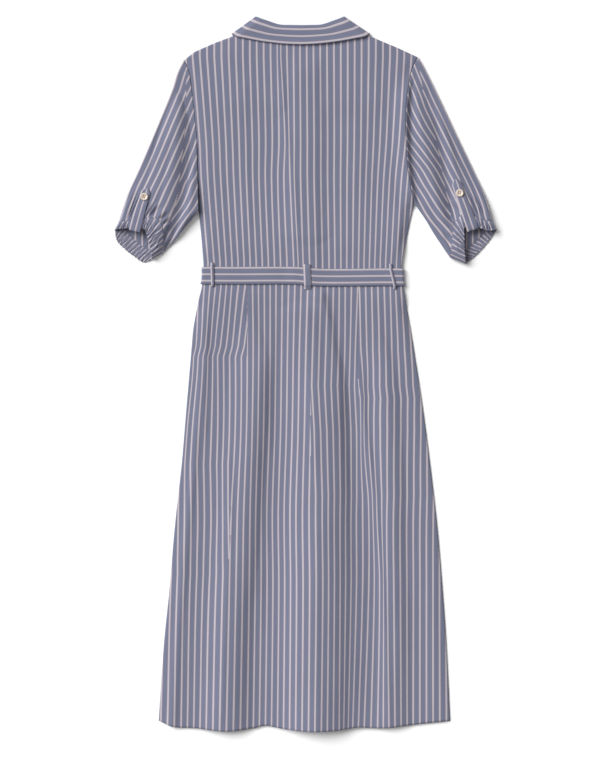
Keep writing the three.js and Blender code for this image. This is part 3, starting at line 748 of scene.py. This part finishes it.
# Plan lines of a sleeve and its cuff run by share of the way along, x, y. outer_at, inner_at and crease
# are y and x: the two edges, and where the two runs of stripes meet. puff is its height, the shares
# across where it is full from and to, and its foot. inner_stripes is y, the number of the stripe that
# is there at COUNTED_AT from the middle, and how far apart they are.
COUNTED_AT = 190
SLEEVES = {
    "left": {
        "outer": Table(
            (0, -200.1, 517.5), (0.08, -210, 498), (0.2, -219.5, 468), (0.45, -246.5, 402),
            (0.7, -274.5, 336), (0.85, -290, 302), (0.93, -300, 273), (1, -306.5, 251),
        ),
        "inner": Table((0, -176.1, 266), (0.35, -195, 246), (0.7, -217, 218), (1, -236, 199)),
        "cuff_seam_back": Table(
            (0, -306.5, 251), (0.2, -292.5, 250.5), (0.4, -278, 250.5), (0.6, -258, 257),
            (0.75, -238.5, 250.5), (0.88, -233.5, 229), (1, -236, 199),
        ),
        "cuff_hem_back": Table(
            (0, -314, 237), (0.2, -297.5, 239), (0.4, -278, 238.5), (0.6, -264.5, 237),
            (0.75, -260, 224), (0.88, -255.5, 210), (1, -252.5, 189.5),
        ),
        "cuff_seam_front": Table(
            (0, -306.5, 251), (0.25, -294.5, 234), (0.5, -279.5, 219), (0.75, -261.5, 206),
            (1, -236, 199),
        ),
        "cuff_hem_front": Table(
            (0, -314, 237), (0.2, -311, 220.5), (0.45, -298.5, 206.5), (0.7, -282.5, 194),
            (0.88, -266.5, 184), (1, -252.5, 189.5),
        ),
        "tab": Table((0, -260.5, 305), (0.25, -265, 291), (0.6, -273, 264), (1, -279.5, 239.5)),
        "underarm_y": 266,
        "outer_at": Table((237, -314), (251, -306.5), (273, -300), (302, -290), (336, -274.5), (402, -246.5),
                          (468, -219.5), (498, -210), (517.5, -200.1)),
        "inner_at": Table((189, -252), (199, -236), (218, -217), (246, -195), (266, -176), (336, -177.5),
                          (389, -179), (443, -184), (478, -188), (517.5, -199.5)),
        "crease": Table((200, -235), (221, -230), (254, -220), (278, -214), (303, -209), (336, -206),
                        (369, -202), (402, -199), (435, -197), (520, -197)),
        "creases": (
            Crease((-10, 16, 7), (150, -242), (185, -233), (221, -220), (254, -207), (278, -201), (303, -197),
                   (336, -193), (369, -190), (402, -188), (435, -188), (480, -191), (515, -195)),
            Crease((-2, 6, 3.5), (296, -267), (353, -253), (405, -240), (447, -225), (497, -204)),
            Crease((-1.5, 6, 5), (250, -250), (300, -238), (350, -226), (400, -214)),
        ),
        "puff": (10, 0.6, 0.8, 1.05),
        "drop": 0,
        "cuff_fall": 1.5,
        "outer_lean": 0.9,
        "inner_stripes": Table(
            (200, 11.8, 11), (235, 9.9, 11), (255, 8.6, 11), (275, 7.3, 11), (295, 6.4, 11),
            (313, 5.8, 11), (325, 5.2, 11), (353, 4.2, 11), (375, 3.4, 11), (415, 2.2, 11),
            (437, 1.4, 11), (455, 0.7, 11), (473, -0.1, 11), (520, -2.2, 11),
        ),
    },
    "right": {
        "outer": Table(
            (0, 185.6, 522), (0.06, 194, 508), (0.2, 214, 468), (0.45, 245, 402), (0.7, 276.5, 336),
            (0.85, 292, 302), (0.94, 302, 275), (1, 308, 251),
        ),
        "inner": Table((0, 179.1, 281.5), (0.3, 197, 256), (0.6, 212, 231), (1, 238, 192)),
        "cuff_seam_back": Table(
            (0, 308, 251), (0.2, 294.5, 252), (0.4, 279, 258.5), (0.6, 258, 261), (0.75, 244, 245),
            (0.88, 241, 216), (1, 238, 192),
        ),
        "cuff_hem_back": Table(
            (0, 315.5, 237), (0.2, 299.5, 235.5), (0.4, 281, 241), (0.6, 262, 240), (0.75, 261.5, 222),
            (0.88, 262, 203), (1, 264, 181),
        ),
        "cuff_seam_front": Table(
            (0, 308, 251), (0.25, 294.5, 232), (0.5, 275, 212.5), (0.75, 255, 197.5), (1, 238, 192),
        ),
        "cuff_hem_front": Table((0, 315.5, 237), (0.35, 299.5, 215), (0.7, 280, 194), (1, 264, 181)),
        "tab": Table((0, 247, 320), (0.25, 252, 303), (0.6, 263, 272), (1, 273.5, 241)),
        "underarm_y": 281.5,
        "outer_at": Table((237, 315.5), (251, 308), (275, 302), (302, 292), (336, 276.5), (402, 245),
                          (468, 214), (508, 194), (522, 185.6)),
        "inner_at": Table((181, 264), (192, 238), (231, 212), (256, 197), (281.5, 179), (336, 169),
                          (389, 165.5), (443, 166), (478, 170.5), (522, 185)),
        "crease": Table((200, 246), (225, 244), (254, 241), (278, 236), (303, 231), (336, 225), (369, 219),
                        (402, 210), (435, 199), (520, 186)),
        "creases": (
            Crease((), (150, 262, 0, 16, 8), (215, 256, 0, 16, 8), (240, 249, -4, 14, 8),
                   (256, 245, -10, 13, 8), (272, 242, -12, 15, 8), (303, 238, -12, 18, 8),
                   (336, 232, -11, 18, 8), (369, 226, -10, 17, 8), (402, 218, -9, 17, 8),
                   (435, 208, -8, 17, 8), (480, 194, -7, 17, 8)),
            Crease((-1.6, 5, 7), (315, 266), (351, 252), (392, 240), (445, 217), (490, 200)),
            Crease((-1.2, 6, 6), (240, 222), (275, 210), (310, 203), (350, 196)),
        ),
        "puff": (11, 0.5, 0.66, 0.9),
        "drop": ARMHOLE_STEP,
        "cuff_fall": 2,
        "outer_lean": 1.02,
        "inner_stripes": Table(
            (190, 14, 16), (237, 11.8, 15.7), (262, 10.7, 13.2), (287, 9.65, 11.5), (311, 8.4, 11.5),
            (336, 7.2, 11.2), (361, 5.6, 11.3), (386, 4.1, 12), (410, 2.85, 11), (435, 1.75, 10.6),
            (460, 0.9, 10.3), (485, -0.1, 10.3), (522, -1.5, 10.5),
        ),
    },
}
SLEEVE_HEIGHT = 3.6
LEAST_HEIGHT = 3.2
MOUTH_HEIGHT = 14.5
OPENS_OVER = (245, 330)
PUFF_ENDS_OVER = (400, 500)


def sleeve_top(sleeve, x, y):
    """Height of the upper face of a sleeve, which is puffed, creased, and opens toward its cuff."""
    outer_x, inner_x = sleeve["outer_at"].at(y)[0], sleeve["inner_at"].at(y)[0]
    across = (x - outer_x) / (inner_x - outer_x)
    height, crest_from, crest_to, foot = sleeve["puff"]
    puffed = height * hill(across, -0.05, crest_from, crest_to, foot) * (1 - ease(*PUFF_ENDS_OVER, y))
    opens = 1 - ease(*OPENS_OVER, y)
    level = SLEEVE_HEIGHT + (MOUTH_HEIGHT - SLEEVE_HEIGHT) * opens + puffed * (1 - 0.7 * opens)
    level += sleeve["drop"] * hill(y, *ARMHOLE_SPAN) * (1 - ease(0, 8, abs(x - inner_x)))
    creased = sum(crease.at(x, y) for crease in sleeve["creases"])
    return max(LEAST_HEIGHT, level + creased * ease(0, 0.1, across))


def ring_share(s):
    """Shares round the edge of a flattened tube, closer together where it turns."""
    return 0.5 - 0.5 * math.cos(math.pi * s)


def tube_place(upper, lower, top_at, extra):
    """u goes once round a flattened tube: first half the upper ply, from outer edge to inner edge."""

    def place(u, v):
        on_top = u <= 0.5
        share = ring_share(2 * u if on_top else 2 - 2 * u)
        x, y = (upper if on_top else lower)(share, v)
        width = math.dist(upper(0, v), upper(1, v))
        height = top_at(x, y)
        reach = min(share, 1 - share) * width / (height / 2)
        swell = math.sqrt(1 - (1 - min(1, reach)) ** 2) * (height - PLY) / 2
        rise, slide_x, slide_y = extra(share, v, x, y, on_top)
        away = ease(0, 0.08, min(share, 1 - share))
        level = height / 2 + (swell if on_top else -swell)
        return x + slide_x * away, y + slide_y * away, level + rise * away

    return place


def round_edge(share, width, height):
    """Cloth that the rounded edge of a flattened tube hides from above, between a place and its top."""
    reach = min(1, min(share, 1 - share) * width / (height / 2))
    return height / 2 * (math.pi / 2 - 1 - math.acos(1 - reach) + reach)


# How much cloth goes down the rounded outer fold, as a share of its height, and how far in it does so
TURNED_SHARE = 0.9
TURNED_WITHIN = (12, 30)


def sleeve_cut(sleeve, side):
    """Stripes follow the outer fold as far as the crease, and the underarm seam beyond it."""

    def cut(u, v, spot, near):
        mid_u, middle = near
        line_x = sleeve["crease"].at(middle.y)[0]
        beyond = middle.x > line_x if side == "left" else middle.x < line_x
        narrowed = 1 - 0.06 * ease(0.55, 1, v)
        outer_x = sleeve["outer_at"].at(spot.y)[0]
        turned_down = TURNED_SHARE * max(0, sleeve_top(sleeve, outer_x, spot.y) - PLY / 2 - spot.z)
        turned_down *= 1 - ease(*TURNED_WITHIN, abs(spot.x - outer_x))
        if mid_u < 0.5 and beyond:
            number, apart = sleeve["inner_stripes"].at(spot.y)
            return (number + (COUNTED_AT - abs(spot.x)) / apart) * REPEAT, spot.y
        gap = abs(spot.x - outer_x) * sleeve["outer_lean"]
        return ((gap if mid_u < 0.5 else -gap) - turned_down) / narrowed, spot.y

    return cut


GATHER_WAVES = 12


def gathered(share, v, x, y, on_top):
    """Small pleats fanning up from the cuff, and long soft waves on the upper ply."""
    pull = hill(v, 0.78, 0.92, 0.93, 1)
    waver = noise.noise(Vector((share * 9, v * 3, 5.1)))
    wave = math.sin(2 * math.pi * (GATHER_WAVES * share + 0.8 * waver))
    streak = noise.noise(Vector((share * 7, v * 2.2, 1.3))) * 0.9 * (1 - ease(0.93, 1, v))
    if not on_top:
        return max(0, wave) * 0.8 * pull, 0, 0
    return wave * 2.2 * pull + streak * 0.8, 0, 0


for side, edge in (("left", left_edge), ("right", right_edge)):
    sleeve = SLEEVES[side]
    sign = -1 if side == "left" else 1

    def armhole(u, side=side, edge=edge, sign=sign, sleeve=sleeve):
        y = SHOULDER[side][1] + (sleeve["underarm_y"] - SHOULDER[side][1]) * u
        return edge(y) + sign * 0.3, y

    sleeve_piece = cloth(
        "sleeve_" + side + "_cloth",
        "sleeve_" + side,
        (216, 110),
        tube_place(
            patch(armhole, sleeve["cuff_seam_back"].at, sleeve["outer"].at, sleeve["inner"].at),
            patch(armhole, sleeve["cuff_seam_front"].at, sleeve["outer"].at, sleeve["inner"].at),
            lambda x, y, sleeve=sleeve: sleeve_top(sleeve, x, y),
            gathered,
        ),
        sleeve_cut(sleeve, side),
        closed=True,
    )

# Cuffs: a doubled band of cotton, gathered on elastic, its stripes across its run and its edge ruffled.
# The tab pulls up the upper side, so the inside of the lower side shows in the mouth.

CUFF_GAP = 0.1
CUFF_DEPTH = 16
CUFF_WAVES = 21
GATHERED_BY = {"upper": 1.3, "lower": 1.7}


def cuff_ply(seam, hem):
    """Places on one ply of a cuff, from a hair beyond its seam to its free edge."""

    def place(u, v):
        start, end = seam.at(u), hem.at(u)
        skipped = CUFF_GAP / math.dist(start, end)
        return mix(start, end, skipped + v * (1 - skipped))

    return place


def run_length(seam, hem):
    """Distance along the middle of the band, by share of the way round it."""
    middles = [mix(seam.at(k / 40), hem.at(k / 40), 0.5) for k in range(41)]
    lengths = [0]
    for first, second in zip(middles, middles[1:]):
        lengths.append(lengths[-1] + math.dist(first, second))
    return Table(*[(k / 40, length) for k, length in enumerate(lengths)])


for side in ("left", "right"):
    sleeve = SLEEVES[side]

    def ruffled(share, v, x, y, on_top, sleeve=sleeve):
        """Gathers across the band, deepest at its free edge, which falls away beside the tab."""
        waver = noise.noise(Vector((share * 11, v * 2, 7.7)))
        wave = math.sin(2 * math.pi * (CUFF_WAVES * share + 1.1 * waver))
        puff = 1.1 * math.sin(math.pi * min(1, v * 1.15))
        slide = 1.1 * wave * ease(0.55, 1, v)
        if not on_top:
            return max(0, 0.6 + wave * 0.7) * ease(0.1, 0.4, v), slide * 0.6, slide * 0.6
        free = ease(8, 26, math.dist((x, y), sleeve["tab"].at(1))) * ease(5, 12, sleeve_top(sleeve, x, y))
        fall = sleeve["cuff_fall"] * v * free
        return wave * 1.2 * ease(-0.05, 0.6, v) + puff - fall, slide * 0.2, slide * 0.2

    upper_run = run_length(sleeve["cuff_seam_back"], sleeve["cuff_hem_back"])
    lower_run = run_length(sleeve["cuff_seam_front"], sleeve["cuff_hem_front"])

    def cuff_cut(u, v, spot, near, upper_run=upper_run, lower_run=lower_run, sleeve=sleeve):
        """Stripes cross the band, closer together where it is gathered more."""
        on_top = near[0] < 0.5
        share = ring_share(2 * u if on_top else 2 - 2 * u)
        width = math.dist(sleeve["cuff_hem_back"].at(0), sleeve["cuff_hem_back"].at(1))
        hidden = round_edge(share, width, MOUTH_HEIGHT)
        most_hidden = round_edge(0, width, MOUTH_HEIGHT)
        if on_top:
            outward = -hidden if share < 0.5 else hidden
            return (upper_run.at(share)[0] + outward) * GATHERED_BY["upper"], CUFF_DEPTH * v
        inward = most_hidden * GATHERED_BY["upper"]
        beyond = (lower_run.at(share)[0] + most_hidden - hidden) * GATHERED_BY["lower"]
        return -inward - beyond, CUFF_DEPTH * v

    cuff_piece = cloth(
        "cuff_" + side + "_cloth",
        "cuff_" + side,
        (300, 18),
        tube_place(
            cuff_ply(sleeve["cuff_seam_back"], sleeve["cuff_hem_back"]),
            cuff_ply(sleeve["cuff_seam_front"], sleeve["cuff_hem_front"]),
            lambda x, y, sleeve=sleeve: sleeve_top(sleeve, x, y),
            ruffled,
        ),
        cuff_cut,
        wall=1.1,
        closed=True,
    )

# Tabs: narrow doubled straps of cotton. Each goes from inside the sleeve round the edge of the mouth and
# up to its button, which holds the sleeve up.

TAB_WIDTH = 15.5
TAB_LIFT = 1.8
# How far past the mouth and how much higher than the sleeve there, as it turns inside
TAB_TURN = ((4.8, 0.6), (4.6, -2.2), (-1.5, -3), (-22, -3.2))


def path_table(points):
    """A smooth line through points, by share of its length."""
    lengths = [0]
    for first, second in zip(points, points[1:]):
        lengths.append(lengths[-1] + math.dist(first, second))
    return Table(*[(length / lengths[-1], *point) for length, point in zip(lengths, points)]), lengths[-1]


for side in ("left", "right"):
    sleeve = SLEEVES[side]
    run = [sleeve["tab"].at(k / 8) for k in range(9)]
    end, before = Vector(run[-1]), Vector(run[-2])
    ahead = (end - before).normalized()
    points = [(x, y, sleeve_top(sleeve, x, y) + TAB_LIFT) for x, y in run]
    for past, level in TAB_TURN:
        x, y = end + ahead * past
        points.append((x, y, sleeve_top(sleeve, *end) + level))
    tab_line, tab_length = path_table(points)

    def tab_place(u, v, line=tab_line, sleeve=sleeve):
        """A strap with a blunt point at its upper end, following its line."""
        x, y, z = line.at(v)
        ahead_x, ahead_y, _ = line.at(min(0.6, v + 0.01))
        back_x, back_y, _ = line.at(max(0, min(0.6, v + 0.01) - 0.02))
        turn = math.atan2(ahead_y - back_y, ahead_x - back_x) + math.pi / 2
        width = (TAB_WIDTH + 3 * ease(0.1, 0.5, v)) * (0.35 + 0.65 * ease(-0.01, 0.075, v))
        off = (u - 0.5) * width
        px, py = x - math.cos(turn) * off, y - math.sin(turn) * off
        follow = sleeve_top(sleeve, px, py) - sleeve_top(sleeve, x, y)
        soft = 0.5 * noise.noise(Vector((u * 2, v * 6, 2.9)))
        return px, py, z + follow + soft - 0.5 * (2 * u - 1) ** 4

    tab_piece = cloth(
        "tab_" + side + "_cloth",
        "tab_" + side,
        (14, 90),
        tab_place,
        lambda u, v, spot, near, length=tab_length: ((u - 0.5) * 21.4 + 1.2, v * length),
        wall=1.1,
    )

# Belt: one doubled strip of cotton with its stripes along it, once round the waist through three loops,
# its ends overlapped beneath the fronts.

BELT_WIDTH = 28.6
BELT_LEFT_Y = 162
BELT_RIGHT_Y = 158.6


def belt_y(x):
    """The belt drops a little where it passes under the middle loop."""
    return BELT_LEFT_Y + (BELT_RIGHT_Y - BELT_LEFT_Y) * (0.7 * ease(-22, 22, x) + 0.3 * ease(-170, 165, x))


def waist_top(x):
    return PLY + max(back(x, belt_y(x) + (k / 8 - 0.5) * (BELT_WIDTH + 6)) for k in range(9))


def belt_on_back(x):
    return waist_top(x) + 2 * SEAM + BAND / 2


def belt_turn(end_x, sign):
    """Round the edge of the dress from front to back: x, z and whether it leans with the side seam."""
    top = belt_on_back(end_x)
    steps = ((0, 0.8), (5.2, 1.5), (7, (0.8 + top) / 2), (5.6, top - 0.8))
    return [(end_x + sign * out, z, float(out > 0)) for out, z in steps]


belt_from, belt_to = left_edge(WAIST_Y) + 4, right_edge(WAIST_Y) - 4
belt_points = [(45, 2.7, 0), (0, 2.7, 0), (-45, 2.7, 0), (-73, 0.8, 0)]
belt_points += belt_turn(belt_from, -1)
shown_x = [belt_from + (belt_to - belt_from) * k / 22 for k in range(23)]
belt_points += [(x, belt_on_back(x), 0) for x in shown_x]
belt_points += belt_turn(belt_to, 1)[::-1] + [(73, 0.8, 0), (0, 0.8, 0), (-41, 0.8, 0)]
belt_line, belt_length = path_table(belt_points)


def belt_place(u, v):
    x, z, leans = belt_line.at(v)
    y = belt_y(x) + (u - 0.5) * BELT_WIDTH
    edge = left_edge if x < 0 else right_edge
    lean = leans * (edge(y) - edge(WAIST_Y))
    shown = ease(6, 8, z)
    soft = shown * (0.5 * noise.noise(Vector((x / 34, u * 1.3, 4.4))) + 0.35)
    rounded = 0.45 * (2 * u - 1) ** 4
    sway = shown * 0.8 * noise.noise(Vector((x / 90, 0, 8.8)))
    return x + lean, y + sway, z + soft - rounded * shown


belt_piece = cloth(
    "belt_cloth",
    "belt",
    (16, 620),
    belt_place,
    lambda u, v, spot, near: ((0.5 - u) * 29 + 2, v * belt_length),
    wall=1.3,
)

# Belt loops: three narrow folded strips, sewn to bodice and skirt above and below the belt.

# x and y of the top end, x and y of the foot, width
BELT_LOOPS = {
    "left": (-153.5, 183, -152.5, 143.5, 5),
    "centre": (2.5, 180, 3.5, 139, 11.5),
    "right": (140.5, 181, 147, 139, 4.5),
}

for side, (top_x, top_y, foot_x, foot_y, width) in BELT_LOOPS.items():
    middle_x = (top_x + foot_x) / 2
    reach = BELT_WIDTH / 2 + 1.5
    clear = PLY + SEAM + PLY / 2
    over_belt = {x: belt_on_back(x) + BAND / 2 + SEAM + PLY / 2 + 0.5 for x in (top_x, middle_x, foot_x)}
    top_z = back(top_x, top_y) + clear
    foot_z = back(foot_x, foot_y) + clear
    loop_line, loop_length = path_table(
        [
            (top_x, top_y, top_z),
            (top_x, belt_y(middle_x) + reach + 1.5, max(top_z, over_belt[top_x] - 1.6)),
            (top_x, belt_y(middle_x) + reach - 2, over_belt[top_x]),
            (middle_x, belt_y(middle_x), over_belt[middle_x] + 0.3),
            (foot_x, belt_y(middle_x) - reach + 2, over_belt[foot_x]),
            (foot_x, belt_y(middle_x) - reach - 1.5, max(foot_z, over_belt[foot_x] - 1.6)),
            (foot_x, foot_y, foot_z),
        ]
    )

    def loop_place(u, v, line=loop_line, width=width):
        x, y, z = line.at(v)
        return x + (u - 0.5) * width, y, z - 0.5 * (2 * u - 1) ** 4

    loop_piece = cloth(
        "belt_loop_" + side + "_cloth",
        "belt_loop_" + side,
        (8, 60),
        loop_place,
        lambda u, v, spot, near, width=width: ((u - 0.12) * width, spot.y),
        wall=1.1,
    )
    loop_length * MM
    width * loop_length * MM**2

# Collar: a leaf of doubled cotton that turns over a stand round the neck, its stripes along its length.
# Only its back half shows; the front leaves lie beneath the fronts.

COLLAR_MIDDLE_X = -7.5
# Share of the way round one half, fold x, y, z, outer edge x, y, z
COLLAR = Table(
    (0, 8, 521.5, 0.95, 52, 457, 0.95),
    (0.18, 46, 537, 0.95, 86, 496, 0.95),
    (0.34, 69, 560, 0.95, 109, 534, 0.95),
    (0.44, 71, 577, 0.95, 110.5, 553, 0.95),
    (0.49, 73.5, 586, 1.1, 113, 559, 1.1),
    (0.52, 74.2, 588.3, 3.9, 114, 560, 3.9),
    (0.55, 73.2, 587.9, 6.6, 112, 558.5, 6.6),
    (0.6, 67, 585, 7.4, 106, 555, 7.3),
    (0.68, 55, 580.4, 7.4, 92, 552.2, 7.2),
    (0.78, 36, 574.2, 7.4, 64, 547.2, 7.2),
    (0.9, 14, 573.2, 7.4, 28, 543, 7.2),
    (1, 0, 573, 7.4, 0, 541.8, 7.2),
)
RIGHT_SIDE_SHARE = 0.965
# Share, neckline x, y, z, top edge x, y, z
STAND = Table(
    (0, 4, 507, 2.5, 4, 519, 2.5),
    (0.2, 42, 524, 2.5, 42, 534, 2.5),
    (0.38, 72, 550, 2.5, 66, 559, 2.5),
    (0.5, 82, 576, 3.2, 73, 583, 3.2),
    (0.56, 80, 574.5, 4.9, 68, 583, 6.1),
    (0.68, 66, 562.5, 4.9, 55, 579, 7),
    (0.82, 40, 554, 4.9, 34, 574, 6.7),
    (1, 0, 551, 4.9, 0, 571, 6.7),
)


def neck_strip(rows, u, v):
    """v goes round the neck, from one end of the opening to the other."""
    half = 2 * v if v <= 0.5 else 2 - 2 * v
    sign = -1 if v <= 0.5 else 1
    row = rows.at(half)
    x, y, z = mix(row[:3], row[3:], u)
    narrowed = 1 if v <= 0.5 else 1 - (1 - RIGHT_SIDE_SHARE) * (1 - u)
    return COLLAR_MIDDLE_X + sign * x * narrowed, y, z, half


def collar_place(u, v):
    x, y, z, half = neck_strip(COLLAR, max(0, (u - 0.1) / 0.9), v)
    on_back = ease(0.56, 0.62, half)
    rolled_in = max(0, 0.1 - u) / 0.1
    swell = on_back * (1.5 * math.sin(math.pi * min(1, u * 1.3)) ** 2 + 0.5)
    lifted = on_back * ease(0.35, 1, u) * (0.9 + 1.6 * ease(-60, 60, x))
    soft = 0.4 * on_back * noise.noise(Vector((x / 40, u * 1.5, 6.1)))
    turned = ease(0.6, 0.7, half)
    roll = math.pi * 0.75 * rolled_in
    y += turned * (1.6 * math.sin(roll) - 1.2 * rolled_in)
    return x, y, z + swell + soft + lifted - turned * 1.7 * (1 - math.cos(roll))


collar_piece = cloth(
    "collar_cloth",
    "collar",
    (30, 300),
    collar_place,
    lambda u, v, spot, near: ((1 - u) * 33 - 2.6, 520 * v),
    wall=1.3,
)


def stand_place(u, v):
    return neck_strip(STAND, u, v)[:3]


stand_piece = cloth(
    "collar_stand_cloth",
    "collar_stand",
    (6, 200),
    stand_place,
    lambda u, v, spot, near: (u * 16 + 3, 480 * v),
    wall=0.8,
)

# Buttons: cream four-hole shirt buttons with a raised rim, turned and drilled, one on each tab and ten
# down the opening. The thread through their holes shows as two short bars.

CREAM = ((0.78, 0.66, 0.55, 1), (0.62, 0.5, 0.41, 1))
TWIST = ((0.2, 0.195, 0.27, 1), (0.34, 0.33, 0.41, 1))
OBJECT_PLACE = 3

shell, start = new_material("button shell", (0.66, 0.55, 0.5))
place = start.node("ShaderNodeTexCoord", out=OBJECT_PLACE)
swirl = start.noise(place, 260.0, 3.0, 1.5)
scratched = start.bump(start.noise(place, 1400.0, 2.0), 0.2, 0.1 * MM)
creamy = start.mixed(swirl.step(0.35, 0.7), *CREAM)
satin = 0.3 + swirl * 0.25
surface(shell, {"Base Color": creamy, "Roughness": satin, "Normal": scratched, "Coat Weight": 0.25})

thread, start = new_material("sewing thread", (0.3, 0.29, 0.36))
place = start.node("ShaderNodeTexCoord", out=OBJECT_PLACE)
twisted = start.mixed(start.noise(place, 1800.0, 1.0).step(0.3, 0.7), *TWIST)
surface(thread, {"Base Color": twisted, "Roughness": 0.8})

HOLE_AT = 1.9
HOLE_RADIUS = 0.85
BUTTON_DEPTH = 2.6
# Which holes each bar of thread joins, and how high over the seat it runs
THREADED = ((0, 1), (3, 0))
THREAD_HEIGHT = 1.75
# Clear of the tab's ply, and how far the right one is from its place in the CAD
OVER_TAB = 1.3
NEARER_CUFF = Vector((1.5, -6, 0))
# Half of the button's section: distance from the middle, share of the depth
BUTTON_SECTION = ((0, 0), (5.2, 0), (5.9, 0.12), (6.2, 0.38), (6.15, 0.72), (5.7, 0.96), (5.1, 1))
BUTTON_DISH = ((4.5, 0.9), (3.7, 0.66), (0, 0.62))


def hole_at(k):
    angle = math.pi / 4 + k * math.pi / 2
    return Vector((math.cos(angle), math.sin(angle), 0)) * HOLE_AT


def button_mesh(depth):
    """The section spun once round, then the four holes drilled through it."""
    mesh = bmesh.new()
    corners = [mesh.verts.new((x, 0, share * depth)) for x, share in (*BUTTON_SECTION, *BUTTON_DISH)]
    rim = [mesh.edges.new(pair) for pair in zip(corners, corners[1:])]
    bmesh.ops.spin(
        mesh, geom=corners + rim, axis=(0, 0, 1), cent=(0, 0, 0), angle=2 * math.pi, steps=48, use_merge=True
    )
    bmesh.ops.remove_doubles(mesh, verts=mesh.verts, dist=0.001)
    bmesh.ops.recalc_face_normals(mesh, faces=mesh.faces)
    disc = bpy.data.meshes.new("button disc")
    mesh.to_mesh(disc)
    mesh.free()
    drill = bmesh.new()
    for k in range(4):
        bmesh.ops.create_cone(
            drill,
            cap_ends=True,
            segments=16,
            radius1=HOLE_RADIUS,
            radius2=HOLE_RADIUS,
            depth=3 * depth,
            matrix=Matrix.Translation(hole_at(k) + Vector((0, 0, depth / 2))),
        )
    drill_mesh = bpy.data.meshes.new("drill")
    drill.to_mesh(drill_mesh)
    drill.free()
    blank = bpy.data.objects.new("blank", disc)
    tool = bpy.data.objects.new("drill", drill_mesh)
    for thing in (blank, tool):
        scene.collection.objects.link(thing)
    drilled = blank.modifiers.new("holes", "BOOLEAN")
    drilled.operation = "DIFFERENCE"
    drilled.solver = "EXACT"
    drilled.object = tool
    ready = bpy.data.meshes.new_from_object(blank.evaluated_get(bpy.context.evaluated_depsgraph_get()))
    for thing in (blank, tool):
        bpy.data.objects.remove(thing)
    return ready


def stitch(mesh, start, end, radius):
    """One visible stitch, or one bar of thread, as a small spindle between two points."""
    span = end - start
    turn = span.to_track_quat("Z", "Y").to_matrix().to_4x4()
    size = Matrix.Diagonal((radius, radius, span.length * 0.56, 1))
    middle = Matrix.Translation((start + end) / 2)
    bmesh.ops.create_icosphere(mesh, subdivisions=1, radius=1, matrix=middle @ turn @ size)


button_nodes = ["tab_button_left", "tab_button_right"] + ["front_button_%d" % k for k in range(1, 11)]
turned_button = button_mesh(BUTTON_DEPTH)
bars = bmesh.new()
for node in button_nodes:
    low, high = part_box(node)
    middle = (low + high) / (2 * MM)
    seat = low.z / MM
    if node == "tab_button_right":
        middle += NEARER_CUFF
    if node.startswith("tab"):
        seat = sleeve_top(SLEEVES[node.split("_")[2]], middle.x, middle.y) + TAB_LIFT + OVER_TAB
    turn = Matrix.Rotation(math.radians(11 * len(node)), 4, "Z")
    mesh = bmesh.new()
    mesh.from_mesh(turned_button)
    bmesh.ops.transform(mesh, matrix=Matrix.Translation((middle.x, middle.y, seat)) @ turn, verts=mesh.verts)
    finish_piece(node + "_shell", mesh, shell, [node])
    face = Vector((middle.x, middle.y, seat + THREAD_HEIGHT))
    for start, end in THREADED:
        stitch(bars, face + turn.to_3x3() @ hole_at(start), face + turn.to_3x3() @ hole_at(end), 0.3)
finish_piece("button_threads", bars, thread, [])

# Stitching: rows of small stitches along the hem and the edges of belt and collar, and beside the
# armhole seams, in thread a shade darker than the stripes.

STITCH_PITCH = 3.2
STITCH_RADIUS = 0.17
ABOVE_PLY = WALL / 2 + 0.02
ABOVE_BAND = Vector((0, 0, 0.67))
HEM_DEPTH = 24


def sewn_row(mesh, at, length):
    """Stitches along at(t), t from 0 to 1, each as long as two thirds of the pitch."""
    count = round(length / STITCH_PITCH)
    for k in range(count):
        stitch(mesh, Vector(at((k + 0.17) / count)), Vector(at((k + 0.83) / count)), STITCH_RADIUS)


stitches = bmesh.new()


def hem_row(t):
    x = left_edge(-560) + 6 + (right_edge(-560) - left_edge(-560) - 12) * t
    y = HEM.at(x)[0] + HEM_DEPTH
    return x, y, back_middle(x, y) + ABOVE_PLY


sewn_row(stitches, hem_row, 460)
for across in (0.07, 0.93):

    def belt_row(t, across=across):
        return Vector(belt_place(across, 0.3 + 0.4 * t)) + ABOVE_BAND

    sewn_row(stitches, belt_row, belt_length * 0.4)
sewn_row(stitches, lambda t: Vector(collar_place(0.86, 0.3 + 0.4 * t)) + ABOVE_BAND, 270)
for side, edge in (("left", left_edge), ("right", right_edge)):
    inward = 5 if side == "left" else -5

    def armhole_row(t, side=side, edge=edge, inward=inward):
        underarm_y = SLEEVES[side]["underarm_y"]
        y = underarm_y + 8 + (SHOULDER[side][1] - underarm_y - 22) * t
        x = edge(y) + inward
        return x, y, rolled(lambda u, v: (x, y), back_middle)(0, 0)[2] + ABOVE_PLY

    sewn_row(stitches, armhole_row, 235)
finish_piece("stitching", stitches, thread, [])
